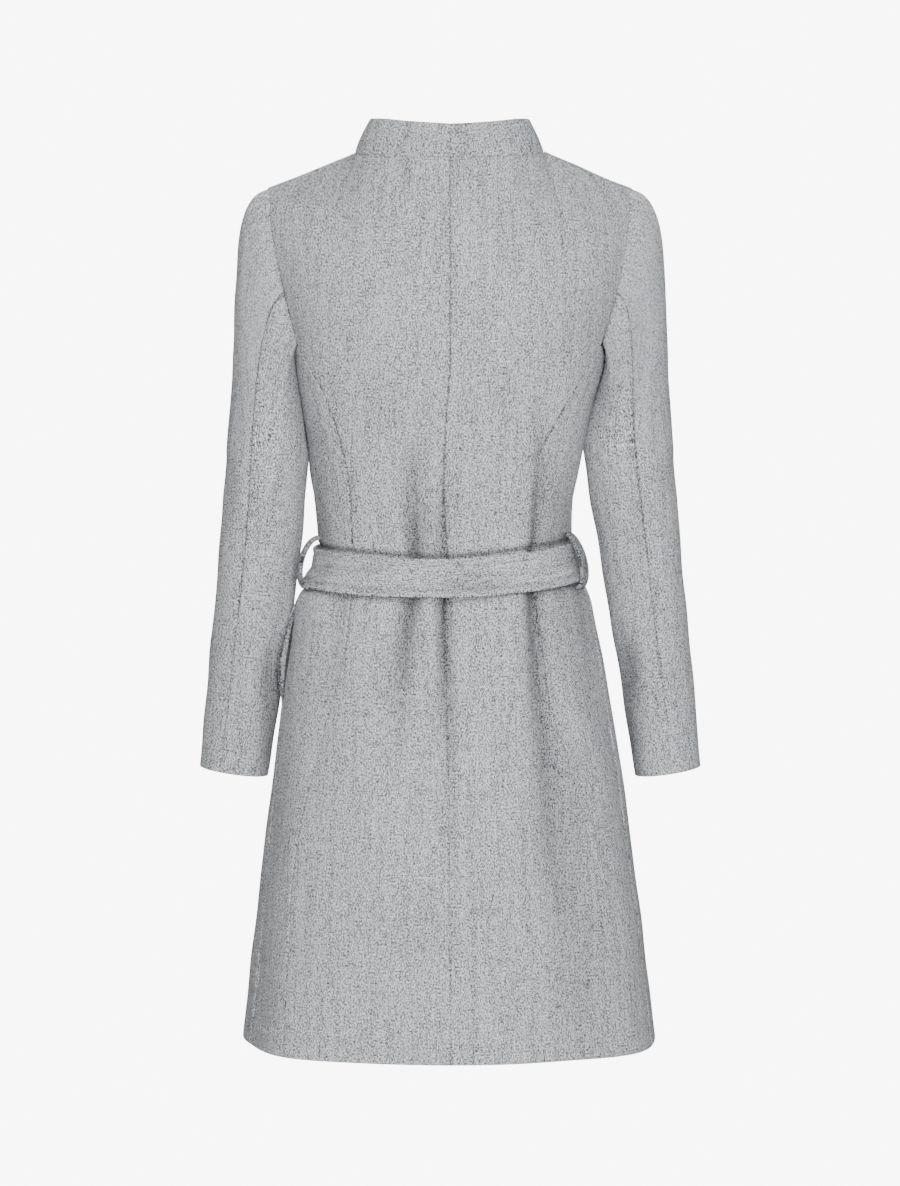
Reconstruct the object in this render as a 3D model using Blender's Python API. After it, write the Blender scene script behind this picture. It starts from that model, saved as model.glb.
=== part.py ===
"""Wrap coat in felted wool, filled out as if worn: hollow shells sewn from flat pieces.

Metres, +Z up. The front faces -Y and the wearer's left is +X. The origin lies midway
between the shoulders, at the height of the centre back neck seam.
Angles go round the body from the centre back (0) over the left side (90) to the front (180);
the right side has negative angles.
"""
import math
import bmesh
import bpy
from mathutils import Vector

CLOTH = 0.0025            # one layer of felted wool
DOUBLE_CLOTH = 0.0040     # collar and belt are sewn from two layers
SEAM_GAP = 0.0004         # between pieces at a seam
SLEEVE_CLEAR = 0.0011     # between the armhole's edge and the sleeve head, which turns there
SQUARENESS = 0.03         # how far the body's sections are from an ellipse

HEM = -0.940
ARMPIT = -0.193           # where the princess seams meet the armholes
ARMPIT_DIP = 0.012        # the armhole is this much lower at the side seam
CORNER = 72.0             # angle of the princess seam at the armhole
LOWER_ROWS = (HEM, -0.870, -0.790, -0.710, -0.640, -0.580, -0.525, -0.483,
              -0.455, -0.430, -0.405, -0.370, -0.330, -0.290, -0.250, -0.218, ARMPIT)
UPPER_ROWS = (0.16, 0.33, 0.50, 0.67, 0.82, 0.93, 1.0)

# Sections of the body: height, half width, depth behind, depth in front, centre sideways
BODY = (
    (-0.940, 0.2225, 0.160, 0.150, 0.0015),
    (-0.845, 0.2122, 0.152, 0.142, 0.0016),
    (-0.737, 0.1993, 0.143, 0.134, 0.0027),
    (-0.629, 0.1852, 0.134, 0.124, 0.0038),
    (-0.548, 0.1735, 0.125, 0.115, 0.0042),
    (-0.494, 0.1645, 0.116, 0.108, 0.0056),
    (-0.467, 0.1565, 0.109, 0.104, 0.0060),
    (-0.450, 0.1460, 0.102, 0.100, 0.0050),
    (-0.430, 0.1380, 0.099, 0.098, 0.0035),
    (-0.405, 0.1355, 0.099, 0.098, 0.0032),
    (-0.372, 0.1355, 0.101, 0.101, 0.0034),
    (-0.332, 0.1420, 0.105, 0.108, 0.0050),
    (-0.290, 0.1505, 0.111, 0.116, 0.0050),
    (-0.256, 0.1570, 0.117, 0.122, 0.0030),
    (-0.220, 0.1650, 0.122, 0.124, 0.0000),
    (-0.193, 0.1690, 0.124, 0.120, 0.0000),
    (-0.170, 0.1690, 0.125, 0.116, 0.0000),
)
# Princess seams of the back: height, distance from the centre on the left and on the right
PRINCESS = (
    (-0.940, 0.174, 0.170),
    (-0.767, 0.167, 0.158),
    (-0.669, 0.1515, 0.138),
    (-0.578, 0.1270, 0.108),
    (-0.530, 0.1150, 0.101),
    (-0.455, 0.1060, 0.0913),
    (-0.404, 0.1030, 0.0880),
    (-0.340, 0.1070, 0.0900),
    (-0.300, 0.1150, 0.1000),
    (-0.245, 0.1340, 0.1300),
    (-0.193, 0.1624, 0.1624),
)
# Side seams: height, angle on the left and on the right
SIDE_SEAM = (
    (-0.940, 76.0, 73.0),
    (-0.560, 82.0, 72.0),
    (-0.450, 84.0, 78.0),
    (-0.300, 89.0, 88.0),
    (-0.193, 90.0, 90.0),
)
# How far each front reaches past the centre front: height, reach
WRAP = (
    (-0.940, 0.115),
    (-0.500, 0.110),
    (-0.400, 0.100),
    (-0.330, 0.075),
    (-0.260, 0.035),
    (-0.193, -0.004),
)
# Centre back above the armpits: share of the way up, height, depth behind
CENTRE_BACK = (
    (0.00, -0.193, 0.1240),
    (0.25, -0.145, 0.1245),
    (0.50, -0.096, 0.1175),
    (0.75, -0.047, 0.1010),
    (1.00, 0.003, 0.0750),
)
# Back and front armholes: share of the way up, height, distance from the centre, depth
ARMHOLE_BACK = (
    (0.00, -0.193, 0.1624, 0.0425),
    (0.25, -0.152, 0.1745, 0.0440),
    (0.50, -0.108, 0.1835, 0.0385),
    (0.75, -0.064, 0.1915, 0.0240),
    (1.00, -0.024, 0.1945, 0.0020),
)
ARMHOLE_FRONT = (
    (0.00, -0.193, 0.1624, -0.0420),
    (0.25, -0.155, 0.1660, -0.0500),
    (0.50, -0.112, 0.1720, -0.0480),
    (0.75, -0.066, 0.1840, -0.0310),
    (1.00, -0.024, 0.1945, 0.0020),
)
SHOULDER_POINT = Vector((0.1945, 0.0020, -0.024))
SIDE_NECK = Vector((0.1010, 0.0060, 0.0145))
NECK_SHARE = 0.5          # share of the back's top edge that is neck, the rest is shoulder
BACK_COLUMNS = 10
SIDE_COLUMNS = 4
FRONT_COLUMNS = 10
UNDERARM_COLUMNS = 3

# Sleeves: height, inner and outer edge on the left, the same on the right,
# centre depth, half depth
SLEEVE = (
    (-0.305, 0.1578, 0.2420, 0.1470, 0.2408, 0.002, 0.058),
    (-0.359, 0.1600, 0.2452, 0.1523, 0.2452, 0.000, 0.056),
    (-0.413, 0.1645, 0.2495, 0.1625, 0.2484, -0.005, 0.054),
    (-0.467, 0.1710, 0.2538, 0.1706, 0.2538, -0.010, 0.052),
    (-0.521, 0.1792, 0.2592, 0.1793, 0.2581, -0.016, 0.050),
    (-0.575, 0.1872, 0.2635, 0.1879, 0.2635, -0.022, 0.048),
    (-0.629, 0.1944, 0.2689, 0.1966, 0.2678, -0.028, 0.046),
    (-0.649, 0.1975, 0.2705, 0.2000, 0.2695, -0.030, 0.045),
)
UNDER_SLEEVE = (5, 12)    # facets of the under sleeve, counted from the shoulder over the back
SLEEVE_TWIST = {1: -5.0, -1: 10.0}
CAP_STEPS = 7

BELT_HALF = 0.021
BELT_LIFT = 0.0017        # inner face of the belt, clear of the cloth that it gathers
BELT_SIDES = 48
BELT_END = 176.0          # angle where the belt goes into its knot
# Height of the belt's middle: angle round the body, height
BELT_PATH = (
    (-180.0, -0.421),
    (-80.0, -0.423),
    (0.0, -0.4397),
    (80.0, -0.430),
    (180.0, -0.421),
)
LOOP_WIDTH = 0.012
LOOP_ANGLES = {1: 74.0, -1: -62.0}
LOOP_HEIGHTS = {1: (-0.457, -0.3985), -1: (-0.4535, -0.3905)}
LOOP_REACH = 0.0215       # how far its arch stands off the coat
LOOP_CLOTH = 0.003
LOOP_STEPS = 12
KNOT = Vector((0.023, 0.012, 0.026))      # half width, half depth, half height
KNOT_LIFT = 0.0176        # middle of the knot, out from the coat
KNOT_ROUNDNESS = 0.8      # 1 is an ellipsoid, less is squarer
TAIL_LENGTHS = {1: 0.34, -1: 0.38}
TAIL_START = 0.006        # below the belt's middle, behind the knot
TAIL_NARROW = 0.006       # width where the knot grips it
TAIL_SPREAD = 0.03        # how fast the two tails part as they hang
TAIL_CLEAR = 0.0022       # off the skirt, once clear of the belt
TAIL_LIFT = 0.0010        # off the belt, behind the knot
TAIL_CLOTH = 0.0032
TAIL_ROWS = 14

LAP = 0.0050              # the under front lies this far inside the over front
POCKET = (-0.565, -0.455)
POCKET_LIP = 0.007        # how far the mouth of the left pocket stands off
POCKET_DEPTH = 0.0045     # its facing lies this far inside the outer face of the cloth

# Rise of the collar: share of the way from the centre back to its end, outwards, up, backwards
COLLAR = (
    (0.00, 0.000, 0.0365, -0.011),
    (0.20, -0.007, 0.0390, -0.009),
    (0.32, -0.014, 0.0385, -0.005),
    (0.40, -0.016, 0.0360, -0.003),
    (0.55, -0.018, 0.0280, -0.007),
    (0.70, -0.020, 0.0210, -0.009),
    (0.85, -0.014, 0.0130, -0.007),
    (1.00, -0.003, 0.0050, -0.003),
)
COLLAR_BACK = 0.40        # share of the collar's length behind the side of the neck
COLLAR_COLUMNS = 15
COLLAR_ROWS = 3
COLLAR_BOW = 0.0015
COLLAR_END = 0.86         # share of the front neckline that the collar runs down

WOOL = (0.46, 0.47, 0.48, 1.0)


def read_table(table, key):
    """A row of the table at this key, smoothly between its rows."""
    if key <= table[0][0]:
        return table[0][1:]
    if key >= table[-1][0]:
        return table[-1][1:]
    upper = next(i for i, row in enumerate(table) if row[0] >= key)
    lower = upper - 1
    before = table[max(lower - 1, 0)]
    first = table[lower]
    second = table[upper]
    after = table[min(upper + 1, len(table) - 1)]
    step = second[0] - first[0]
    t = (key - first[0]) / step
    values = []
    for column in range(1, len(first)):
        slope_a = step * (second[column] - before[column]) / (second[0] - before[0])
        slope_b = step * (after[column] - first[column]) / (after[0] - first[0])
        value = (2 * t ** 3 - 3 * t ** 2 + 1) * first[column]
        value += (t ** 3 - 2 * t ** 2 + t) * slope_a
        value += (-2 * t ** 3 + 3 * t ** 2) * second[column]
        value += (t ** 3 - t ** 2) * slope_b
        values.append(value)
    return values


def smooth(t):
    t = min(max(t, 0.0), 1.0)
    return t * t * (3 - 2 * t)


def outline(angle):
    """Unit section of the body at this angle in degrees: sideways and backwards."""
    a = math.radians(angle)
    across = (math.sin(a) + SQUARENESS * math.sin(3 * a)) / (1 - SQUARENESS)
    behind = (math.cos(a) - SQUARENESS * math.cos(3 * a)) / (1 - SQUARENESS)
    return across, behind


def folds(angle, height):
    """Soft waves of the skirt, deeper towards the hem, and none above the belt."""
    depth = 0.0045 * smooth((-0.47 - height) / 0.40)
    turn = math.radians(angle)
    return depth * (0.6 * math.cos(7 * turn + 0.5) + 0.4 * math.cos(4 * turn - 1.1))


def body_surface(angle, height):
    half_width, behind_depth, front_depth, centre = read_table(BODY, height)
    across, behind = outline(angle)
    depth = behind_depth if behind > 0 else front_depth
    swell = 1 + folds(angle, height) / half_width
    return Vector((centre + half_width * across * swell, depth * behind * swell, height))


def body_point(angle, height, lift=0.0):
    """A point on the outside of the body cloth, moved out by lift."""
    point = body_surface(angle, height)
    if lift == 0.0:
        return point
    along = body_surface(angle + 1, height) - body_surface(angle - 1, height)
    up = body_surface(angle, height + 0.004) - body_surface(angle, height - 0.004)
    return point + along.cross(up).normalized() * -lift


def angle_at(distance, height, side, front=False):
    """The angle where the body is this far from the centre line."""
    half_width, _, _, centre = read_table(BODY, height)
    wanted = (distance - side * centre) / half_width
    low, high = (90.0, 230.0) if front else (0.0, 90.0)
    for _ in range(30):
        middle = (low + high) / 2
        beyond = outline(middle)[0] > wanted
        if beyond != front:
            high = middle
        else:
            low = middle
    return side * (low + high) / 2


def princess_angle(height, side):
    left, right = read_table(PRINCESS, height)
    return angle_at(left if side > 0 else right, height, side)


def side_angle(height, side):
    left, right = read_table(SIDE_SEAM, height)
    return side * (left if side > 0 else right)


def wrap_angle(height, side):
    return angle_at(-read_table(WRAP, height)[0], height, side, front=True)


def underarm_height(angle, height):
    """Rows near the armpit dip towards the side seam, to the bottom of the armhole."""
    near = smooth((height - LOWER_ROWS[-5]) / (ARMPIT - LOWER_ROWS[-5]))
    inside = 1 - abs(abs(angle) - 90.0) / (90.0 - CORNER)
    return height - near * ARMPIT_DIP * math.sin(math.pi / 2 * max(inside, 0.0))


def mirrored(point, side):
    return Vector((point[0] * side, point[1], point[2]))


def edge_curve(table, t):
    height, distance, depth = read_table(table, t)
    return Vector((distance, depth, height))


def back_top(u):
    """The back's top edge: neck curve from the centre back, then the shoulder seam."""
    if u <= NECK_SHARE:
        turn = u / NECK_SHARE * math.pi / 2
        rise = 1 - math.cos(turn * 0.98)
        depth = 0.075 + (SIDE_NECK.y - 0.075) * (1 - math.cos(turn)) ** 1.15
        return Vector((SIDE_NECK.x * math.sin(turn), depth, 0.003 + (SIDE_NECK.z - 0.003) * rise))
    return SIDE_NECK.lerp(SHOULDER_POINT, (u - NECK_SHARE) / (1 - NECK_SHARE))


def front_neck(t):
    """The front's inner edge, from the crossing up to the side of the neck."""
    start = body_point(wrap_angle(ARMPIT, 1), ARMPIT)
    bend = Vector((0.080, -0.098, -0.085))
    return start.lerp(bend, t).lerp(bend.lerp(SIDE_NECK, t), t)


def blend_patch(inner, outer, bottom, top, u, t):
    """A patch between four edges that keeps the fullness of its bottom until near the top."""
    h = t ** 4
    full_low = bottom(u) - bottom(0).lerp(bottom(1), u)
    full_high = top(u) - top(0).lerp(top(1), u)
    return inner(t).lerp(outer(t), u) + full_low * (1 - h) + full_high * h


def back_patch(u, t):
    def inner(t):
        height, depth = read_table(CENTRE_BACK, t)
        return Vector((0.0, depth, height))

    def bottom(u):
        return body_point(CORNER * u, ARMPIT)
    return blend_patch(inner, lambda t: edge_curve(ARMHOLE_BACK, t), bottom, back_top, u, t)


def front_patch(u, t):
    last = wrap_angle(ARMPIT, 1)

    def bottom(u):
        return body_point(last + (180.0 - CORNER - last) * u, ARMPIT)

    def top(u):
        return SIDE_NECK.lerp(SHOULDER_POINT, u)
    return blend_patch(front_neck, lambda t: edge_curve(ARMHOLE_FRONT, t), bottom, top, u, t)


def patch_point(patch, u, t, lift):
    """A patch point moved out along the patch's normal, shared along the shoulder."""
    point = patch(u, t)
    low_u, high_u = max(u - 0.02, 0), min(u + 0.02, 1)
    low_t, high_t = max(t - 0.02, 0), min(t + 0.02, 1)
    across = patch(high_u, t) - patch(low_u, t)
    up = patch(u, high_t) - patch(u, low_t)
    normal = across.cross(up).normalized()
    if normal.y * point.y < 0 and t < 0.9:
        normal = -normal
    if t >= 0.9:
        if normal.z < 0:
            normal = -normal
        on_shoulder = patch is front_patch or u > NECK_SHARE - 0.01
        crest = Vector((0.38, 0.0, 0.92)) if on_shoulder else normal
        normal = normal.lerp(crest, (t - 0.84) / 0.16).normalized()
    return point + normal * lift


def material(name, tone=1.0):
    made = bpy.data.materials.new(name)
    made.use_nodes = True
    shader = made.node_tree.nodes["Principled BSDF"]
    shader.inputs["Base Color"].default_value = tuple(c * tone for c in WOOL[:3]) + (1.0,)
    shader.inputs["Roughness"].default_value = 0.95
    shader.inputs["Metallic"].default_value = 0.0
    return made


def cloth_piece(name, outer, inner, cells, finish):
    """A closed wall between an outer and an inner surface given on the same grid."""
    mesh = bpy.data.meshes.new(name)
    work = bmesh.new()
    top = {key: work.verts.new(point) for key, point in outer.items()}
    low = {key: work.verts.new(point) for key, point in inner.items()}
    edges = {}
    for column, row in cells:
        ring = [(column, row), (column + 1, row), (column + 1, row + 1), (column, row + 1)]
        work.faces.new([top[key] for key in ring])
        work.faces.new([low[key] for key in reversed(ring)])
        for first, second in zip(ring, ring[1:] + ring[:1]):
            edges.setdefault(frozenset((first, second)), []).append((first, second))
    for uses in edges.values():
        if len(uses) == 1:
            first, second = uses[0]
            work.faces.new((top[second], top[first], low[first], low[second]))
    bmesh.ops.recalc_face_normals(work, faces=work.faces)
    if work.calc_volume(signed=True) < 0:
        bmesh.ops.reverse_faces(work, faces=work.faces)
    work.to_mesh(mesh)
    work.free()
    mesh.shade_smooth()
    mesh.set_sharp_from_angle(angle=math.radians(40))
    mesh.materials.append(finish)
    piece = bpy.data.objects.new(name, mesh)
    bpy.context.scene.collection.objects.link(piece)
    return piece


def full_grid(columns, rows):
    return [(column, row) for column in range(columns) for row in range(rows)]


def trim(points, pairs):
    """Draw edge points towards their neighbours by half of the seam gap."""
    for edge, neighbour in pairs:
        way = points[neighbour] - points[edge]
        points[edge] = points[edge] + way.normalized() * SEAM_GAP / 2


def panel(name, place, columns, rows, cells, pairs, finish):
    used = sorted({(c + i, r + j) for c, r in cells for i in (0, 1) for j in (0, 1)})
    outer = {key: place(key[0], key[1], 0.0) for key in used}
    inner = {key: place(key[0], key[1], -CLOTH) for key in used}
    for points in (outer, inner):
        trim(points, [pair for pair in pairs if pair[0] in points])
    return cloth_piece(name, outer, inner, cells, finish)


def edge_pairs(columns, rows, left=True, right=True):
    pairs = []
    if left:
        pairs += [((0, row), (1, row)) for row in range(rows + 1)]
    if right:
        pairs += [((columns, row), (columns - 1, row)) for row in range(rows + 1)]
    return pairs


LOWER = len(LOWER_ROWS)
ROWS = LOWER + len(UPPER_ROWS)


def back(side, name, finish):
    """From the centre back seam to the princess seam and the armhole."""
    def place(column, row, lift):
        share = column / BACK_COLUMNS
        if row < LOWER:
            height = LOWER_ROWS[row]
            return body_point(princess_angle(height, side) * share, height, lift)
        point = patch_point(back_patch, share, UPPER_ROWS[row - LOWER], lift)
        return mirrored(point, side)
    pairs = edge_pairs(BACK_COLUMNS, ROWS - 1)
    pairs += [((column, ROWS - 1), (column, ROWS - 2)) for column in range(BACK_COLUMNS + 1)]
    cells = full_grid(BACK_COLUMNS, ROWS - 1)
    return panel(name, place, BACK_COLUMNS, ROWS - 1, cells, pairs, finish)


def side_back(side, name, finish):
    """From the princess seam to the side seam, up to the bottom of the armhole."""
    def place(column, row, lift):
        height = LOWER_ROWS[row]
        first = princess_angle(height, side)
        last = side_angle(height, side)
        angle = first + (last - first) * column / SIDE_COLUMNS
        return body_point(angle, underarm_height(angle, height), lift)
    pairs = edge_pairs(SIDE_COLUMNS, LOWER - 1)
    cells = full_grid(SIDE_COLUMNS, LOWER - 1)
    return panel(name, place, SIDE_COLUMNS, LOWER - 1, cells, pairs, finish)


def under_lap(angle, side):
    return -LAP * smooth((abs(angle) - 112.0) / 30.0) if side > 0 else 0.0


def front(side, name, finish):
    """From the side seam round to the wrap edge, with the armhole and the neck above."""
    columns = UNDERARM_COLUMNS + FRONT_COLUMNS
    knee = 180.0 - CORNER

    def place(column, row, lift):
        share = (column - UNDERARM_COLUMNS) / FRONT_COLUMNS
        if row < LOWER:
            height = LOWER_ROWS[row]
            if column <= UNDERARM_COLUMNS:
                first = side_angle(height, side)
                angle = first + (side * knee - first) * column / UNDERARM_COLUMNS
            else:
                angle = side * knee + (wrap_angle(height, side) - side * knee) * share
            lift += under_lap(angle, side)
            if side > 0 and column == 0 and POCKET[0] < height < POCKET[1]:
                way = (height - POCKET[0]) / (POCKET[1] - POCKET[0])
                lift += POCKET_LIP * math.sin(math.pi * way)
            return body_point(angle, underarm_height(angle, height), lift)
        t = UPPER_ROWS[row - LOWER]
        angle = knee + (wrap_angle(ARMPIT, 1) - knee) * share
        lift += under_lap(angle, side) * (1 - smooth(t / 0.6))
        return mirrored(patch_point(front_patch, 1 - share, t, lift), side)
    cells = full_grid(columns, LOWER - 1)
    cells += [(column, row) for column in range(UNDERARM_COLUMNS, columns)
              for row in range(LOWER - 1, ROWS - 1)]
    pairs = edge_pairs(columns, LOWER - 1, right=False)
    pairs += [((column, ROWS - 1), (column, ROWS - 2))
              for column in range(UNDERARM_COLUMNS, columns + 1)]
    return panel(name, place, columns, ROWS - 1, cells, pairs, finish)


def armhole_loop():
    """Points round the armhole from the shoulder over the back, with their turn in degrees."""
    corner_turn = 106.0
    steps = [0.0] + list(UPPER_ROWS)
    points = []
    for index, t in enumerate(reversed(steps)):
        turn = corner_turn * index / (len(steps) - 1)
        points.append((edge_curve(ARMHOLE_BACK, t), turn))
    for column in range(1, SIDE_COLUMNS + 1):
        angle = CORNER + (90.0 - CORNER) * column / SIDE_COLUMNS
        turn = corner_turn + (180.0 - corner_turn) * column / SIDE_COLUMNS
        points.append((body_point(angle, underarm_height(angle, ARMPIT)), turn))
    for column in range(1, UNDERARM_COLUMNS + 1):
        angle = 90.0 + (90.0 - CORNER) * column / UNDERARM_COLUMNS
        turn = 180.0 + (180.0 - corner_turn) * column / UNDERARM_COLUMNS
        points.append((body_point(angle, underarm_height(angle, ARMPIT)), turn))
    for index, t in enumerate(steps[1:], 1):
        turn = 360.0 - corner_turn * (1 - index / (len(steps) - 1))
        points.append((edge_curve(ARMHOLE_FRONT, t), turn))
    return points


ARMHOLE = armhole_loop()
SIDES = len(ARMHOLE) - 1


def sleeve_ring(side, turn, height):
    row = read_table([tuple([-r[0]]) + r[1:] for r in SLEEVE], -height)
    inside, outside = row[0:2] if side > 0 else row[2:4]
    centre_depth, half_depth = row[4:6]
    a = math.radians(turn + SLEEVE_TWIST[side])
    across = (inside + outside) / 2 + (outside - inside) / 2 * math.cos(a)
    return Vector((across, centre_depth + half_depth * math.sin(a), height))


def sleeve_surface(side, index, share):
    """Outside of the sleeve; share 0 to 1 is the cap, beyond that the rings of the table."""
    index %= SIDES
    start, turn = ARMHOLE[index]
    a = math.radians(turn)
    if share >= 1:
        spot = min(share - 1, len(SLEEVE) - 1)
        low = min(int(spot), len(SLEEVE) - 2)
        height = SLEEVE[low][0] + (SLEEVE[low + 1][0] - SLEEVE[low][0]) * (spot - low)
        return sleeve_ring(side, turn, height)
    end = sleeve_ring(side, turn, SLEEVE[0][0])
    reach = (end - start).length
    leave = Vector((0.42 + 0.18 * math.cos(a), 0.30 * math.sin(a), -0.55 + 0.20 * math.cos(a)))
    arrive = Vector((0.08 + 0.04 * math.cos(a), 0.0, -1.0))
    s = share
    point = start * (2 * s ** 3 - 3 * s ** 2 + 1)
    point += leave * reach * (s ** 3 - 2 * s ** 2 + s)
    point += end * (3 * s ** 2 - 2 * s ** 3)
    point += arrive * reach * (s ** 3 - s ** 2)
    return point + leave.normalized() * SLEEVE_CLEAR * (1 - s)


def sleeve_point(side, index, share, lift):
    point = sleeve_surface(side, index, share)
    if lift:
        around = sleeve_surface(side, index + 1, share) - sleeve_surface(side, index - 1, share)
        last = len(SLEEVE)
        below = sleeve_surface(side, index, min(share + 0.05, last))
        down = below - sleeve_surface(side, index, max(min(share, last - 0.05) - 0.05, 0))
        point = point + around.cross(down).normalized() * -lift
    return mirrored(point, side)


def sleeve(side, name, first, last, finish):
    """One of the two pieces of a sleeve, between two facets of the ring."""
    rows = [step / CAP_STEPS for step in range(CAP_STEPS)]
    rows += [1.0 + step for step in range(len(SLEEVE))]

    def place(column, row, lift):
        return sleeve_point(side, first + column, rows[row], lift)
    columns = last - first
    cells = full_grid(columns, len(rows) - 1)
    pairs = edge_pairs(columns, len(rows) - 1)
    return panel(name, place, columns, len(rows) - 1, cells, pairs, finish)


def collar_surface(s, w):
    if s <= COLLAR_BACK:
        base = back_top(NECK_SHARE * s / COLLAR_BACK)
    else:
        base = front_neck(1 - COLLAR_END * (s - COLLAR_BACK) / (1 - COLLAR_BACK))
    rise = Vector((read_table(COLLAR, s)[0], read_table(COLLAR, s)[2], read_table(COLLAR, s)[1]))
    return base + rise.normalized() * SEAM_GAP + rise * w


def collar(side, name, finish):
    """Half of the stand collar, seamed at the centre back and running down the front."""
    def place(column, row, lift):
        s = column / COLLAR_COLUMNS
        w = row / COLLAR_ROWS
        point = collar_surface(s, w)
        along = collar_surface(min(s + 0.02, 1), w) - collar_surface(max(s - 0.02, 0), w)
        up = collar_surface(s, 1) - collar_surface(s, 0)
        normal = along.cross(up).normalized()
        if normal.dot(Vector((point.x, point.y + 0.02, 0.0))) < 0:
            normal = -normal
        depth = DOUBLE_CLOTH / CLOTH * lift
        bow = COLLAR_BOW * math.sin(math.pi * w)
        return mirrored(point + normal * (depth + bow), side)
    cells = full_grid(COLLAR_COLUMNS, COLLAR_ROWS)
    pairs = edge_pairs(COLLAR_COLUMNS, COLLAR_ROWS, right=False)
    return panel(name, place, COLLAR_COLUMNS, COLLAR_ROWS, cells, pairs, finish)


def strip(name, place, columns, rows, low, high, finish):
    """A strip lying off the body, between two lifts from its surface."""
    keys = [(column, row) for column in range(columns + 1) for row in range(rows + 1)]
    outer = {key: place(key[0], key[1], high) for key in keys}
    inner = {key: place(key[0], key[1], low) for key in keys}
    return cloth_piece(name, outer, inner, full_grid(columns, rows), finish)


def belt_height(angle):
    return read_table(BELT_PATH, angle)[0]


def belt(finish):
    def place(column, row, lift):
        angle = -BELT_END + 2 * BELT_END * column / BELT_SIDES
        return body_point(angle, belt_height(angle) + BELT_HALF * (row - 1), lift)
    strip("belt", place, BELT_SIDES, 2, BELT_LIFT, BELT_LIFT + DOUBLE_CLOTH, finish)


def belt_knot(finish):
    """The flat knot at the centre front, an even rounded lump."""
    height = belt_height(180.0)
    centre = body_point(180.0, height, KNOT_LIFT)
    mesh = bpy.data.meshes.new("belt_knot")
    work = bmesh.new()
    bmesh.ops.create_uvsphere(work, u_segments=16, v_segments=10, radius=1.0)
    for vert in work.verts:
        squared = [math.copysign(abs(value) ** KNOT_ROUNDNESS, value) for value in vert.co]
        vert.co = centre + Vector([value * half for value, half in zip(squared, KNOT)])
    work.to_mesh(mesh)
    work.free()
    mesh.shade_smooth()
    mesh.materials.append(finish)
    bpy.context.scene.collection.objects.link(bpy.data.objects.new("belt_knot", mesh))


def belt_tail(side, name, finish):
    """A free end that leaves the back of the knot and hangs on the front skirt."""
    top = belt_height(180.0) - TAIL_START
    length = TAIL_LENGTHS[side]

    def place(column, row, lift):
        down = (row / TAIL_ROWS) ** 1.4
        height = top - length * down
        drop = top - height
        open_out = smooth((drop - BELT_HALF) / 0.030)
        inner_edge = 0.0010 + 0.004 * open_out + TAIL_SPREAD * drop
        width = TAIL_NARROW + (2 * BELT_HALF - TAIL_NARROW) * open_out
        distance = inner_edge + width * column / 2 + side * read_table(BODY, height)[3]
        angle = angle_at(distance, height, side, front=True)
        clear = TAIL_CLEAR * open_out
        return body_point(angle, height, lift + clear)
    strip(name, place, 2, TAIL_ROWS, TAIL_LIFT, TAIL_LIFT + TAIL_CLOTH, finish)


def belt_loop(side, name, finish):
    """A narrow loop sewn on above and below the belt, standing off it."""
    low, high = LOOP_HEIGHTS[side]
    middle = (low + high) / 2
    half_turn = math.degrees(LOOP_WIDTH / 2 / 0.135)

    def path(step, inset):
        a = math.pi * (step / LOOP_STEPS - 0.5)
        half = (high - low) / 2 - inset
        height = middle + half * math.copysign(abs(math.sin(a)) ** 0.8, a)
        return height, 1.5 * SEAM_GAP + (LOOP_REACH - inset) * math.cos(a) ** 0.7

    def points(inset):
        placed = {}
        for step in range(LOOP_STEPS + 1):
            height, lift = path(step, inset)
            for column in (0, 1):
                angle = LOOP_ANGLES[side] + (2 * column - 1) * half_turn
                placed[(step, column)] = body_point(angle, height, lift)
        return placed
    cells = full_grid(LOOP_STEPS, 1)
    return cloth_piece(name, points(0.0), points(LOOP_CLOTH), cells, finish)


def pocket_facing(finish):
    """The strip inside the mouth of the left pocket."""
    def place(column, row, lift):
        height = POCKET[0] + 0.004 + (POCKET[1] - POCKET[0] - 0.008) * row / 6
        angle = side_angle(height, 1) - 1.5 + 6.0 * column / 2
        return body_point(angle, height, lift)
    strip("pocket_facing_left", place, 2, 6, -POCKET_DEPTH - 0.002, -POCKET_DEPTH, finish)


def build():
    for piece in list(bpy.data.objects):
        bpy.data.objects.remove(piece, do_unlink=True)
    cloth = {name: material(name, tone) for name, tone in (
        ("wool_back", 1.0), ("wool_side", 0.97), ("wool_front", 1.0), ("wool_collar", 0.97),
        ("wool_top_sleeve", 0.99), ("wool_under_sleeve", 0.96), ("wool_belt", 1.02))}
    for side, word in ((1, "left"), (-1, "right")):
        back(side, "back_" + word, cloth["wool_back"])
        side_back(side, "side_back_" + word, cloth["wool_side"])
        front(side, "front_" + word, cloth["wool_front"])
        collar(side, "collar_" + word, cloth["wool_collar"])
        under_first, under_last = UNDER_SLEEVE
        sleeve(side, "under_sleeve_" + word, under_first, under_last, cloth["wool_under_sleeve"])
        sleeve(side, "top_sleeve_" + word, under_last, SIDES + under_first,
               cloth["wool_top_sleeve"])
        belt_loop(side, "belt_loop_" + word, cloth["wool_belt"])
        belt_tail(side, "belt_tail_" + word, cloth["wool_belt"])
    belt(cloth["wool_belt"])
    belt_knot(cloth["wool_belt"])
    pocket_facing(cloth["wool_side"])


build()
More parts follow.
